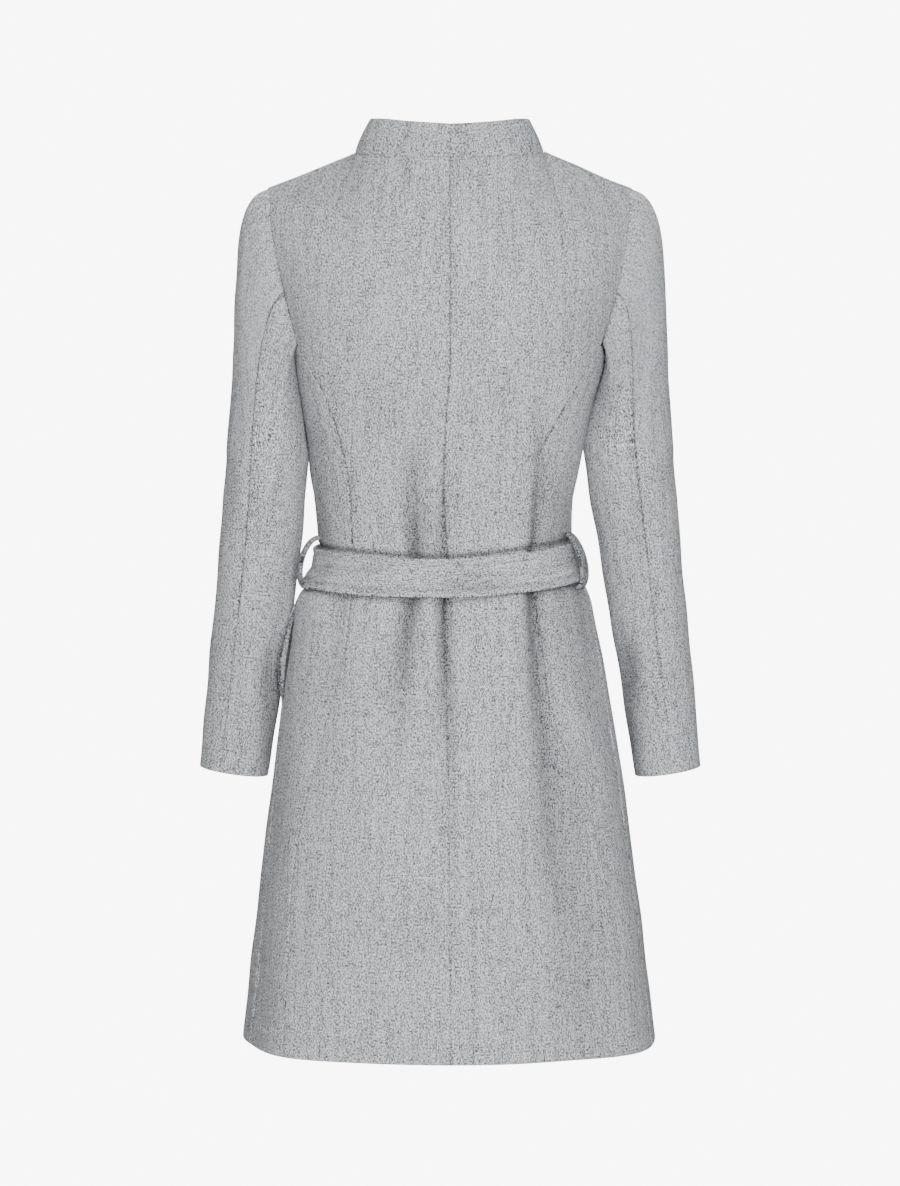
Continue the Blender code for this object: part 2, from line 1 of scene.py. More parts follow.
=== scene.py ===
import math
import bpy
import numpy as np
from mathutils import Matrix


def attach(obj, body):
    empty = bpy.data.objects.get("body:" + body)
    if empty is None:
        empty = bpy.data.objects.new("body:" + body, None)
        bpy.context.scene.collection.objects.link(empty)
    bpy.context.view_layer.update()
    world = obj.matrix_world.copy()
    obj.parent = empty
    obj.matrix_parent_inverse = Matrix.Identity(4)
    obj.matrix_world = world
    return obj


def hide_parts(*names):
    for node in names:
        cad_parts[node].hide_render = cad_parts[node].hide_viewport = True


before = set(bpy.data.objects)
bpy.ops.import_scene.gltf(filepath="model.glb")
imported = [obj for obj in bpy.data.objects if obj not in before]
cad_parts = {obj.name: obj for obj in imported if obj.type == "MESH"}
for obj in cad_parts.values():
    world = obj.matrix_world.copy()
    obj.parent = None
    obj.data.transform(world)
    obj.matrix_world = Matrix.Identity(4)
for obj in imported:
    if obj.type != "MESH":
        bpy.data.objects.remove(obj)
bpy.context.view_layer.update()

# Studio: a pale seamless floor and backdrop, a broad soft light beside the camera, and a
# camera level with the coat's waist behind it. The coat keeps the place that its wearer
# gives it, so the floor lies well below the hem.
PAPER = (8.4, 8.4, 8.4, 1.0)

floor_mesh = bpy.data.meshes.new("studio_floor")
FLOOR_HALF, FLOOR_Z, SWEEP_Y = 9.0, -1.75, -7.0
floor_mesh.from_pydata(
    [(-FLOOR_HALF, FLOOR_HALF, FLOOR_Z), (FLOOR_HALF, FLOOR_HALF, FLOOR_Z),
     (FLOOR_HALF, SWEEP_Y, FLOOR_Z), (-FLOOR_HALF, SWEEP_Y, FLOOR_Z)],
    [], [(3, 2, 1, 0)])
studio_floor = bpy.data.objects.new("studio_floor", floor_mesh)
bpy.context.scene.collection.objects.link(studio_floor)
paper = bpy.data.materials.new("pale_paper")
paper.use_nodes = True
paper_shader = paper.node_tree.nodes["Principled BSDF"]
paper_shader.inputs["Base Color"].default_value = (0.0, 0.0, 0.0, 1.0)
paper_shader.inputs["Roughness"].default_value = 1.0
paper_shader.inputs["Specular IOR Level"].default_value = 0.0
paper_shader.inputs["Emission Color"].default_value = PAPER
paper_shader.inputs["Emission Strength"].default_value = 1.0
floor_mesh.materials.append(paper)
studio_floor.visible_diffuse = False
studio_floor.visible_glossy = False

world = bpy.data.worlds.new("studio_air")
bpy.context.scene.world = world
world.use_nodes = True
air = world.node_tree
air.nodes.clear()
seen = air.nodes.new("ShaderNodeBackground")
seen.inputs["Color"].default_value = PAPER
glow = air.nodes.new("ShaderNodeBackground")
glow.inputs["Color"].default_value = (1.0, 1.0, 1.0, 1.0)
glow.inputs["Strength"].default_value = 0.22
rays = air.nodes.new("ShaderNodeLightPath")
choice = air.nodes.new("ShaderNodeMixShader")
sky = air.nodes.new("ShaderNodeOutputWorld")
air.links.new(rays.outputs["Is Camera Ray"], choice.inputs[0])
air.links.new(glow.outputs[0], choice.inputs[1])
air.links.new(seen.outputs[0], choice.inputs[2])
air.links.new(choice.outputs[0], sky.inputs["Surface"])

# Softboxes: name, place, aim, width, height, power in watts
SOFTBOXES = (
    ("front_box", (-0.45, 4.2, 0.15), (0.0, 0.0, -0.45), 1.7, 1.7, 196.0),
    ("top_box", (0.8, 3.4, 1.9), (0.0, 0.0, -0.45), 2.0, 1.6, 40.0),
    ("far_box", (0.3, -4.0, 1.0), (0.0, 0.0, -0.40), 2.6, 2.6, 150.0),
)
for name, place, aim, width, tall, watts in SOFTBOXES:
    lamp = bpy.data.lights.new(name, "AREA")
    lamp.shape = "RECTANGLE"
    lamp.size = width
    lamp.size_y = tall
    lamp.energy = watts
    box = bpy.data.objects.new(name, lamp)
    box.location = place
    way = np.array(aim) - np.array(place)
    flat_way = math.hypot(way[0], way[1])
    box.rotation_euler = (math.atan2(flat_way, -way[2]), 0.0, math.atan2(-way[0], way[1]))
    bpy.context.scene.collection.objects.link(box)

CAMERA_BACK, CAMERA_HEIGHT, CAMERA_TILT = 3.5, -0.3046, math.radians(2.526)
lens = bpy.data.cameras.new("camera")
lens.lens = 98.4
lens.sensor_width = 36.0
camera = bpy.data.objects.new("camera", lens)
camera.location = (0.0, CAMERA_BACK, CAMERA_HEIGHT)
camera.rotation_euler = (math.pi / 2 - CAMERA_TILT, 0.0, math.pi)
bpy.context.scene.collection.objects.link(camera)
bpy.context.scene.camera = camera

# Back panels: left and right, felted wool cut with the grain down the centre back seam and
# eased over the shoulder blades. They are sewn to each other, to the side backs along the
# princess seams, and to the sleeves, collar and fronts; the grey is spun from light and
# dark fibres.
CLOTH = 0.0025
SQUARENESS = 0.03
HEM, ARMPIT, ARMPIT_DIP, CORNER = -0.943, -0.193, 0.012, 72.0
DIP_START = -0.330
# Sections of the body: height, half width, depth behind, depth in front, centre sideways
BODY = (
    (-0.940, 0.2230, 0.160, 0.150, -0.0008),
    (-0.845, 0.2122, 0.152, 0.142, -0.0004),
    (-0.737, 0.1995, 0.143, 0.134, 0.0007),
    (-0.629, 0.1858, 0.134, 0.124, 0.0022),
    (-0.548, 0.1735, 0.125, 0.115, 0.0042),
    (-0.494, 0.1645, 0.116, 0.108, 0.0056),
    (-0.467, 0.1598, 0.109, 0.104, 0.0062),
    (-0.450, 0.1520, 0.102, 0.100, 0.0052),
    (-0.430, 0.1405, 0.099, 0.098, 0.0035),
    (-0.405, 0.1375, 0.099, 0.098, 0.0045),
    (-0.372, 0.1385, 0.101, 0.101, 0.0060),
    (-0.332, 0.1440, 0.105, 0.108, 0.0067),
    (-0.290, 0.1505, 0.111, 0.116, 0.0050),
    (-0.256, 0.1570, 0.117, 0.122, 0.0030),
    (-0.220, 0.1650, 0.122, 0.124, 0.0000),
    (-0.193, 0.1690, 0.124, 0.120, 0.0000),
    (-0.170, 0.1690, 0.125, 0.116, 0.0000),
)
# Princess seams of the back: height, distance from the centre on the left and on the right
PRINCESS = (
    (-0.940, 0.174, 0.170),
    (-0.767, 0.167, 0.158),
    (-0.669, 0.1515, 0.138),
    (-0.578, 0.1270, 0.108),
    (-0.530, 0.1150, 0.101),
    (-0.455, 0.1060, 0.0913),
    (-0.404, 0.1030, 0.0880),
    (-0.340, 0.1070, 0.0900),
    (-0.300, 0.1150, 0.1000),
    (-0.245, 0.1340, 0.1300),
    (-0.193, 0.1624, 0.1624),
)
# Centre back above the armpits: share of the way up, height, depth behind
CENTRE_BACK = (
    (0.00, -0.193, 0.1240),
    (0.25, -0.145, 0.1245),
    (0.50, -0.096, 0.1175),
    (0.75, -0.047, 0.1010),
    (1.00, 0.003, 0.0750),
)
# Back armhole: share of the way up, height, distance from the centre, depth
ARMHOLE_BACK = (
    (0.00, -0.193, 0.1624, 0.0425),
    (0.25, -0.152, 0.1745, 0.0440),
    (0.50, -0.108, 0.1835, 0.0385),
    (0.75, -0.064, 0.1915, 0.0240),
    (1.00, -0.024, 0.1945, 0.0020),
)
# Height of the belt's middle: angle round the body, height
BELT_PATH = (
    (-180.0, -0.421),
    (-80.0, -0.423),
    (0.0, -0.4397),
    (80.0, -0.430),
    (180.0, -0.421),
)
BELT_HALF, BELT_TOP, BELT_BOTTOM = 0.021, -0.390, -0.480
PINCH_END, PINCH_REACH, PINCH_DEPTH, PINCH_WIDTH = -0.500, 0.65, 0.0036, 0.0034
# Painted shade on the coat along the belt's edges: edge from its middle, distance past the edge, strength
BELT_EDGES = ((BELT_HALF, 0.0022, 0.85), (-BELT_HALF, -0.0012, 0.30))
SHOULDER_POINT = np.array((0.1945, 0.0020, -0.024))
SIDE_NECK = np.array((0.1010, 0.0060, 0.0145))
NECK_SHARE = 0.5
GRID, GRID_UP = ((0.0034, 0.0075))
# The second value is the strength of the painted shade along the seam grooves.
ALLOWANCE, SEAM_GLOOM = 0.0024, 0.40


def read_table(table, key):
    """The table's columns at these keys, smoothly between its rows."""
    rows = np.array(table, float)
    at = rows[:, 0]
    key = np.clip(np.asarray(key, float), at[0], at[-1])
    low = np.clip(np.searchsorted(at, key, side="right") - 1, 0, len(at) - 2)
    before, after = np.maximum(low - 1, 0), np.minimum(low + 2, len(at) - 1)
    step = at[low + 1] - at[low]
    t = (key - at[low]) / step
    columns = []
    for values in rows[:, 1:].T:
        lean_a = step * (values[low + 1] - values[before]) / (at[low + 1] - at[before])
        lean_b = step * (values[after] - values[low]) / (at[after] - at[low])
        columns.append((2 * t ** 3 - 3 * t ** 2 + 1) * values[low] + (t ** 3 - 2 * t ** 2 + t) * lean_a
                       + (3 * t ** 2 - 2 * t ** 3) * values[low + 1] + (t ** 3 - t ** 2) * lean_b)
    return columns


def smooth(t):
    t = np.clip(t, 0.0, 1.0)
    return t * t * (3 - 2 * t)


def point(across, back, height):
    return np.stack(np.broadcast_arrays(across, back, height), axis=-1)


def between(first, second, share):
    return first + (second - first) * np.asarray(share)[..., None]


def outline(angle):
    a = np.radians(angle)
    across = (np.sin(a) + SQUARENESS * np.sin(3 * a)) / (1 - SQUARENESS)
    return across, (np.cos(a) - SQUARENESS * np.cos(3 * a)) / (1 - SQUARENESS)


def body_surface(angle, height):
    """Outside of the body cloth, by degrees round from the centre back and by height."""
    half_width, behind_depth, front_depth, centre = read_table(BODY, height)
    across, behind = outline(angle)
    depth = np.where(behind > 0, behind_depth, front_depth)
    turn = np.radians(angle)
    wave = 0.6 * np.cos(7 * turn + 0.5) + 0.4 * np.cos(4 * turn - 1.1)
    swell = 1 + 0.0045 * smooth((-0.47 - height) / 0.40) * wave / half_width
    return point(centre + half_width * across * swell, depth * behind * swell, height)


def angle_at(distance, height, side, front=False):
    """The angle where the body is this far from its centre line."""
    half_width, _, _, centre = read_table(BODY, height)
    wanted = (distance - side * centre) / half_width
    low = np.full_like(wanted, 90.0 if front else 0.0)
    high = np.full_like(wanted, 230.0 if front else 90.0)
    for _ in range(30):
        middle = (low + high) / 2
        upper = (outline(middle)[0] > wanted) != front
        high = np.where(upper, middle, high)
        low = np.where(upper, low, middle)
    return side * (low + high) / 2


def princess_angle(height, side):
    return angle_at(read_table(PRINCESS, height)[0 if side > 0 else 1], height, side)


def back_top(u):
    """Top edge of the back: the neck curve from the centre back, then the shoulder seam."""
    turn = np.clip(u / NECK_SHARE, 0, 1) * math.pi / 2
    depth = 0.075 + (SIDE_NECK[1] - 0.075) * (1 - np.cos(turn)) ** 1.15
    height = 0.003 + (SIDE_NECK[2] - 0.003) * (1 - np.cos(turn * 0.98))
    neck = point(SIDE_NECK[0] * np.sin(turn), depth, height)
    along = np.clip((u - NECK_SHARE) / (1 - NECK_SHARE), 0, 1)
    shoulder = between(SIDE_NECK, SHOULDER_POINT, along)
    return np.where((u <= NECK_SHARE)[..., None], neck, shoulder)


def blend_patch(inner, outer, bottom, top, u, t):
    """A patch between four edges that keeps the fullness of its bottom until near the top."""
    h = (t ** 4)[..., None]
    zero, one = np.zeros_like(u), np.ones_like(u)
    full_low = bottom(u) - between(bottom(zero), bottom(one), u)
    full_high = top(u) - between(top(zero), top(one), u)
    return between(inner(t), outer(t), u) + full_low * (1 - h) + full_high * h


def edge_curve(table, t):
    height, distance, depth = read_table(table, t)
    return point(distance, depth, height)


def back_patch(u, t):
    def inner(t):
        height, depth = read_table(CENTRE_BACK, t)
        return point(0 * height, depth, height)
    return blend_patch(inner, lambda t: edge_curve(ARMHOLE_BACK, t),
                       lambda u: body_surface(CORNER * u, ARMPIT + 0 * u), back_top, u, t)


def spaced(length, fine_start=True, fine_end=True, pitch=GRID):
    """Shares along a piece of this length, closer together towards its edges."""
    edge = np.array((0.0, 0.00035, 0.0008, 0.0013, 0.0019, 0.0027, 0.0038)) / length
    start = edge if fine_start else edge[:1]
    end = 1 - (edge if fine_end else edge[:1])[::-1]
    count = max(int((end[0] - start[-1]) * length / pitch), 2)
    return np.concatenate((start[:-1], np.linspace(start[-1], end[0], count + 1), end[1:]))


def unit(vectors):
    return vectors / np.maximum(np.linalg.norm(vectors, axis=-1, keepdims=True), 1e-12)


def facing(grid, outwards):
    """Unit normals of a grid of points, turned to the side that outwards points to."""
    normal = unit(np.cross(np.gradient(grid, axis=1), np.gradient(grid, axis=0)))
    return normal * np.sign((normal * outwards).sum(-1, keepdims=True) + 1e-9)


def run_lengths(grid, axis):
    """Distance of each grid point from the first one, along rows or columns."""
    steps = np.linalg.norm(np.diff(grid, axis=axis), axis=-1)
    pad = [(1, 0) if a == axis else (0, 0) for a in (0, 1)]
    return np.pad(np.cumsum(steps, axis=axis), pad)


def crease(across, height, start, end, bend, width, fade):
    """Strength, 0 to 1, of one soft crease between two places on the cloth."""
    start, end = np.array(start), np.array(end)
    way = end - start
    long = math.hypot(*way)
    way = way / long
    off = point(across, height, 0 * across)[..., :2] - start
    s = (off @ way) / long
    aside = off @ np.array((-way[1], way[0])) - bend * 4 * s * (1 - s)
    wide = width[0] + (width[1] - width[0]) * np.clip(s, 0, 1)
    return smooth(s / fade[0]) * smooth((1 - s) / fade[1]) * np.exp(-(aside / wide) ** 2)


def drift(across, height, size, seed):
    """Gentle unevenness of cloth that has been pressed and worn."""
    total = 0.0
    for step in range(1, 6):
        turn = seed * 1.7 + step * 2.4
        pitch = 38.0 * step ** 0.7
        total = total + np.sin(pitch * (across * math.cos(turn) + height * math.sin(turn)) + turn) / step
    return size * total


def cloth(name, grid, outwards, material, seams="", free="", wall=CLOTH, missing=None,
          groove=0.0019, groove_width=0.0012, grain=0.5, tuck=0.0010,
          shallow="", along=False, shade=0.0):
    """A closed wall of cloth under this grid of outside points.

    seams and free name the edges (l, r, b, t) that dip into a seam, with a narrow allowance
    turned in behind the next piece, or that end in a soft round.
    grain is the share of the width where the grain runs straight up the piece, and along
    turns the grain to run across it. shallow names the seams that are pressed nearly flush."""
    outwards = outwards * np.ones_like(grid)
    missing = np.zeros(np.array(grid.shape[:2]) - 1, bool) if missing is None else missing
    turned_in, shade = np.zeros(grid.shape[:2]), shade + np.zeros(grid.shape[:2])
    for edge, axis, end, step in (("l", 1, 0, 1), ("r", 1, -1, -1), ("b", 0, 0, 1), ("t", 0, -1, -1)):
        if edge in seams:
            last, before = grid.take(end, axis), grid.take(end + step, axis)
            beyond = np.expand_dims(last + unit(last - before) * ALLOWANCE, axis)
            grid = np.concatenate((beyond, grid) if end == 0 else (grid, beyond), axis)
            pads = [(int(end == 0 and a == axis), int(end != 0 and a == axis)) for a in range(2)]
            outwards = np.pad(outwards, pads + [(0, 0)], "edge")
            missing, turned_in, shade = (np.pad(field, pads, "edge")
                                         for field in (missing, turned_in, shade))
            turned_in[(slice(None), end) if axis else end] = 1.0
    normal = facing(grid, outwards)
    rows, columns = grid.shape[:2]
    across, up = run_lengths(grid, 1), run_lengths(grid, 0)
    first, low = ("l" in seams) * 1, ("b" in seams) * 1
    across, up = across - across[:, first:first + 1], up - up[low:low + 1]
    right, top = (across[:, -2:-1] if "r" in seams else across[:, -1:],
                  up[-2:-1] if "t" in seams else up[-1:])
    reach = {"l": across, "r": right - across, "b": up, "t": top - up}
    roll = np.zeros((rows, columns))
    dip = np.zeros((rows, columns))
    for edge in free:
        inside = np.clip(1 - reach[edge] / (wall / 2), 0, 1)
        roll = np.maximum(roll, 0.94 * wall / 2 * (1 - np.sqrt(1 - inside ** 2)))
    for edge in seams:
        deep = groove * (0.4 if edge in shallow else 1.0) * (1 - 0.45 * smooth((-0.46 - grid[..., 2]) / 0.12))
        dip = np.minimum(dip, -deep * np.exp(-(np.maximum(reach[edge], 0) / groove_width) ** 2))
    outer = grid + normal * (dip - roll - tuck * turned_in)[..., None]
    inner = grid + normal * (roll - wall - (tuck + 0.0004) * turned_in)[..., None]
    # Painted shade in the seam grooves: the groove's depth as a share darkens the fibres in the material and
    # adds to the painted shade of the shade attribute.
    groove_shade = -dip / groove
    shade = np.maximum(shade, SEAM_GLOOM * groove_shade ** 2)
    middle = int(grain * (columns - 1))
    apart = len(bpy.data.meshes) * 0.731
    fabric = point(across - across[:, middle:middle + 1] + apart, up[:, middle:middle + 1] + apart, 0)
    fabric = fabric[..., 1::-1] if along else fabric[..., :2]
    index = np.arange(rows * columns).reshape(rows, columns)
    ring = np.stack((index[:-1, :-1], index[:-1, 1:], index[1:, 1:], index[1:, :-1]), -1)
    keep = ~missing
    faces = ring[keep]
    sides = np.concatenate([faces[:, [k, (k + 1) % 4]] for k in range(4)])
    key = np.sort(sides, 1) @ np.array((rows * columns, 1))
    _, first, uses = np.unique(key, return_index=True, return_counts=True)
    rim = sides[first[uses == 1]]
    below = rows * columns
    walls = np.stack((rim[:, 1], rim[:, 0], rim[:, 0] + below, rim[:, 1] + below), -1)
    polygons = np.concatenate((faces, faces[:, ::-1] + below, walls))
    points = np.concatenate((outer.reshape(-1, 3), inner.reshape(-1, 3)))
    fabric = np.concatenate((fabric.reshape(-1, 2), fabric.reshape(-1, 2)))
    groove_shade = np.concatenate((groove_shade.ravel(), 0 * groove_shade.ravel()))
    shade = np.concatenate((shade.ravel(), shade.ravel()))
    used, polygons = np.unique(polygons, return_inverse=True)
    polygons = polygons.reshape(-1, 4)
    points, fabric, groove_shade, shade = points[used], fabric[used], groove_shade[used], shade[used]
    a, b, c = (points[polygons[:, k]] for k in (0, 1, 2))
    outside = np.cross(b - a, c - a)[: len(faces)].reshape(-1, 3)
    if (outside * normal[:-1, :-1][keep]).sum() < 0:
        polygons = polygons[:, ::-1]
    mesh = bpy.data.meshes.new(name)
    mesh.from_pydata(points.tolist(), [], polygons.tolist())
    layer = mesh.uv_layers.new(name="fabric_metres")
    layer.data.foreach_set("uv", fabric[polygons.reshape(-1)].reshape(-1))
    mesh.attributes.new("groove_shade", "FLOAT", "POINT").data.foreach_set("value", groove_shade)
    mesh.attributes.new("shade", "FLOAT", "POINT").data.foreach_set("value", shade)
    mesh.shade_smooth()
    mesh.set_sharp_from_angle(angle=math.radians(62))
    mesh.materials.append(material)
    piece = bpy.data.objects.new(name, mesh)
    bpy.context.scene.collection.objects.link(piece)
    return piece


class Wire:
    """A shader socket that adds up: numbers make Math nodes, and mix joins colours."""

    def __init__(self, tree, socket):
        self.tree, self.socket = tree, socket

    def math(self, operation, other=None, flip=False):
        node = self.tree.nodes.new("ShaderNodeMath")
        node.operation = operation
        for slot, value in zip(node.inputs, (other, self) if flip else (self, other)):
            if isinstance(value, Wire):
                self.tree.links.new(value.socket, slot)
            elif value is not None:
                slot.default_value = value
        return Wire(self.tree, node.outputs[0])

    def __add__(self, other):
        return self.math("ADD", other)

    def __radd__(self, other):
        return self.math("ADD", other, True)

    def __sub__(self, other):
        return self.math("SUBTRACT", other)

    def __rsub__(self, other):
        return self.math("SUBTRACT", other, True)

    def __mul__(self, other):
        return self.math("MULTIPLY", other)

    def __rmul__(self, other):
        return self.math("MULTIPLY", other, True)

    def __pow__(self, other):
        return self.math("POWER", other)

    def node(self, kind, settings=None, output=0, **values):
        """Any other node, set up and then fed; returns one of its outputs."""
        made = self.tree.nodes.new(kind)
        for name, value in (settings or {}).items():
            setattr(made, name, value)
        for name, value in values.items():
            slot = made.inputs[int(name[1:])] if name[1:].isdigit() else made.inputs[name]
            if isinstance(value, Wire):
                self.tree.links.new(value.socket, slot)
            else:
                slot.default_value = value
        return Wire(self.tree, made.outputs[output])

    def mix(self, first, second):
        """A colour between two, by this share."""
        return self.node("ShaderNodeMix", {"data_type": "RGBA"}, 2, i0=self, i6=first, i7=second)


# Fibre layers of the melange: pitch across in fibres per metre, stretch along the grain,
# noise detail, strength
MELANGE = (
    (760.0, 0.62, 1.0, 1.00),
    (1500.0, 0.70, 0.0, 0.90),
    (330.0, 0.30, 1.0, 0.34),
    (110.0, 0.10, 1.0, 0.16),
)


def wool(name, dark, light, shade=1.0):
    """Felted melange wool: light and dark fibres drawn out along the grain, brushed matte. The whole colour
    is scaled by a level, painted light or shade for this copy, and two point attributes paint shade on it, in
    the seam grooves and in creases and other shaded places.
    """
    made = bpy.data.materials.new(name)
    made.use_nodes = True
    tree = made.node_tree
    shader = tree.nodes["Principled BSDF"]
    fabric = Wire(tree, tree.nodes.new("ShaderNodeUVMap").outputs[0])
    fabric.socket.node.uv_map = "fabric_metres"
    total = None
    for pitch, stretch, detail, strength in MELANGE:
        place = fabric.node("ShaderNodeMapping", Vector=fabric, Scale=(pitch, pitch * stretch, 1.0))
        fibre = fabric.node("ShaderNodeTexNoise", {"noise_dimensions": "2D"}, Vector=place, Scale=1.0,
                            Detail=detail, Roughness=0.6)
        part = (fibre - 0.5) * strength
        total = part if total is None else total + part
    cloud = fabric.node("ShaderNodeTexNoise", {"noise_dimensions": "2D"}, Vector=fabric, Scale=24.0,
                        Detail=2.0, Roughness=0.5)
    # Painted shade in the seam grooves: this attribute darkens the fibres there.
    pressed = fabric.node("ShaderNodeAttribute", {"attribute_name": "groove_shade"}, 2)
    fibres = total * CONTRAST + 0.5 + (cloud - 0.5) * 0.10 - pressed * GROOVE_SHADE
    share = fibres.node("ShaderNodeClamp", i0=fibres, i1=0.0, i2=1.0)
    # Painted shade: each colour is scaled by this copy's level, and the shade attribute mixes it towards a
    # darker copy of itself.
    lit, unlit = ([tuple(c * level for c in fibre) + (1.0,) for fibre in (dark, light)]
                  for level in (shade, shade * UNLIT))
    painted_shade_share = fabric.node("ShaderNodeAttribute", {"attribute_name": "shade"}, 2)
    tint = painted_shade_share.mix(share.mix(*lit), share.mix(*unlit))
    tree.links.new(tint.socket, shader.inputs["Base Color"])
    rough = 0.98 - share * 0.10
    tree.links.new(rough.socket, shader.inputs["Roughness"])
    bump = share.node("ShaderNodeBump", i0=0.55, i1=0.0012, Height=total)
    tree.links.new(bump.socket, shader.inputs["Normal"])
    shader.inputs["Specular IOR Level"].default_value = 0.12
    shader.inputs["Sheen Weight"].default_value = 0.10
    shader.inputs["Sheen Roughness"].default_value = 0.55
    shader.inputs["Sheen Tint"].default_value = (0.95, 0.97, 1.0, 1.0)
    return made


# The second value darkens the fibres in the seam grooves, painted shade.
# The third value is the share of the colour left where the shade attribute is full, painted shade.
CONTRAST, GROOVE_SHADE, UNLIT = 5.6, 0.60, 0.26
DARK_FIBRE, LIGHT_FIBRE = (0.080, 0.087, 0.100), (0.955, 0.970, 1.000)
wool_back = wool("wool_back", DARK_FIBRE, LIGHT_FIBRE)

# Creases of the back, each from its upper end to its lower one:
# across, height, across, height, bend, width at the two ends, depth,
# strength of the painted shade that darkens the crease
BACK_CREASES = (
    (0.0390, -0.270, 0.0372, -0.455, 0.001, 0.010, 0.0075, -0.0080, 1.00),
    (0.0250, -0.330, 0.0250, -0.455, 0.000, 0.020, 0.0200, 0.0000, 0.30),
    (0.0210, -0.340, 0.0230, -0.452, 0.000, 0.008, 0.0080, 0.0040, 0.00),
    (0.0060, -0.300, 0.0080, -0.455, 0.000, 0.008, 0.0070, -0.0050, 0.70),
    (0.0560, -0.320, 0.0580, -0.452, 0.000, 0.010, 0.0100, 0.0030, 0.00),
    (-0.0970, -0.250, -0.0865, -0.456, -0.003, 0.008, 0.0055, -0.0085, 0.95),
    (-0.0760, -0.290, -0.0700, -0.450, 0.002, 0.012, 0.0120, 0.0036, 0.00),
    (-0.1060, -0.300, -0.1020, -0.455, 0.000, 0.012, 0.0140, -0.0020, 0.44),
    (-0.1230, -0.330, -0.1220, -0.455, 0.000, 0.012, 0.0120, -0.0020, 0.50),
    (0.1460, -0.250, 0.1330, -0.460, 0.000, 0.014, 0.0140, -0.0004, 0.66),
    (0.1200, -0.300, 0.1130, -0.440, 0.000, 0.012, 0.0120, 0.0016, 0.16),
    (0.0350, -0.420, 0.0580, -0.640, 0.004, 0.008, 0.0160, -0.0090, 0.95),
    (0.0070, -0.420, -0.0020, -0.700, 0.002, 0.0065, 0.0120, -0.0080, 0.95),
    (0.0215, -0.430, 0.0290, -0.600, 0.000, 0.012, 0.0260, 0.0052, 0.00),
    (-0.0850, -0.400, -0.1330, -0.900, 0.006, 0.0075, 0.0220, -0.0115, 1.00),
    (-0.0640, -0.430, -0.0840, -0.900, 0.000, 0.022, 0.0420, 0.0050, 0.00),
    (-0.1080, -0.400, -0.1380, -0.600, 0.000, 0.010, 0.0140, -0.0030, 0.40),
    (-0.1370, -0.430, -0.1600, -0.680, 0.000, 0.012, 0.0130, -0.0030, 0.66),
    (-0.1750, -0.560, -0.1920, -0.960, 0.000, 0.016, 0.0300, -0.0020, 0.12),
    (-0.1280, -0.600, -0.1560, -1.080, 0.000, 0.022, 0.0500, -0.0050, 0.26),
    (0.1120, -0.430, 0.1580, -0.820, 0.004, 0.012, 0.0300, -0.0060, 0.14),
    (0.0700, -0.520, 0.0960, -0.920, 0.000, 0.034, 0.0560, 0.0044, 0.00),
    (0.1700, -0.540, 0.2060, -0.960, 0.000, 0.012, 0.0200, -0.0010, 0.05),
    (0.1680, -0.120, 0.1560, -0.320, 0.002, 0.014, 0.0160, -0.0010, 0.46),
    (-0.1700, -0.120, -0.1540, -0.320, -0.002, 0.014, 0.0160, -0.0010, 0.38),
    (0.0600, -0.100, 0.1250, -0.170, 0.006, 0.024, 0.0240, -0.0018, 0.06),
    (-0.0600, -0.100, -0.1250, -0.180, -0.006, 0.024, 0.0260, -0.0020, 0.06),
    (0.1300, -0.020, 0.1960, -0.060, 0.000, 0.020, 0.0240, 0.0000, 0.14),
    (-0.1300, -0.020, -0.1960, -0.060, 0.000, 0.020, 0.0240, 0.0000, 0.08),
    (0.0000, -0.447, -0.0030, -0.960, 0.000, 0.006, 0.0080, -0.0012, 0.20),
)


def belt_level(grid):
    """Height of the middle of the belt, round the body."""
    return read_table(BELT_PATH, np.degrees(np.arctan2(grid[..., 0], grid[..., 1])))[0]


def settle(grid, creases, outwards, seed, pinched=True):
    """Lay the creases and the slight unevenness of worn cloth into a grid, and return it with
    the painted shade of each place, darker along the belt's edges and in the creases."""
    across, height = grid[..., 0], grid[..., 2]
    lift = drift(across, height, 0.0007, seed)
    shade = np.zeros_like(lift)
    if pinched:
        for edge, above, gloom in BELT_EDGES:
            away = height - belt_level(grid) - edge
            lift = lift - PINCH_DEPTH * np.exp(-(away / PINCH_WIDTH) ** 2)
            # Painted shade along the belt's edges.
            shade = np.maximum(shade, gloom * np.exp(-((away - above) / PINCH_WIDTH) ** 2))
    for x0, z0, x1, z1, bend, wide0, wide1, depth, gloom in creases:
        fade = (0.08 if pinched and z0 < BELT_TOP else 0.30, 0.15 if pinched and z1 > BELT_BOTTOM else 0.45)
        strength = crease(across, height, (x0, z0), (x1, z1), bend, (wide0, wide1), fade)
        if pinched and (z0 < BELT_TOP or z1 > BELT_BOTTOM) and z0 > PINCH_END:
            reach = PINCH_REACH * math.hypot(x1 - x0, z1 - z0)
            away = np.maximum(np.abs(height - belt_level(grid)) - BELT_HALF, 0)
            strength = strength * np.exp(-away / reach)
        lift = lift + depth * strength
        # Painted shade: each crease darkens the colour by the strength in its last column.
        shade = 1 - (1 - shade) * (1 - gloom * strength)
    return grid + facing(grid, outwards) * lift[..., None], shade


SIDE_HEIGHTS = HEM + (ARMPIT - HEM) * spaced(ARMPIT - HEM, pitch=GRID_UP)
SIDE_HEIGHTS = np.concatenate((SIDE_HEIGHTS[SIDE_HEIGHTS < -0.478], np.linspace(-0.478, -0.384, 48),
                               SIDE_HEIGHTS[SIDE_HEIGHTS > -0.384]))
LOWER_HEIGHTS = np.append(SIDE_HEIGHTS[SIDE_HEIGHTS < ARMPIT - 0.004], ARMPIT)
UPPER_SHARES = spaced(0.21, fine_start=False, pitch=GRID_UP)[1:]


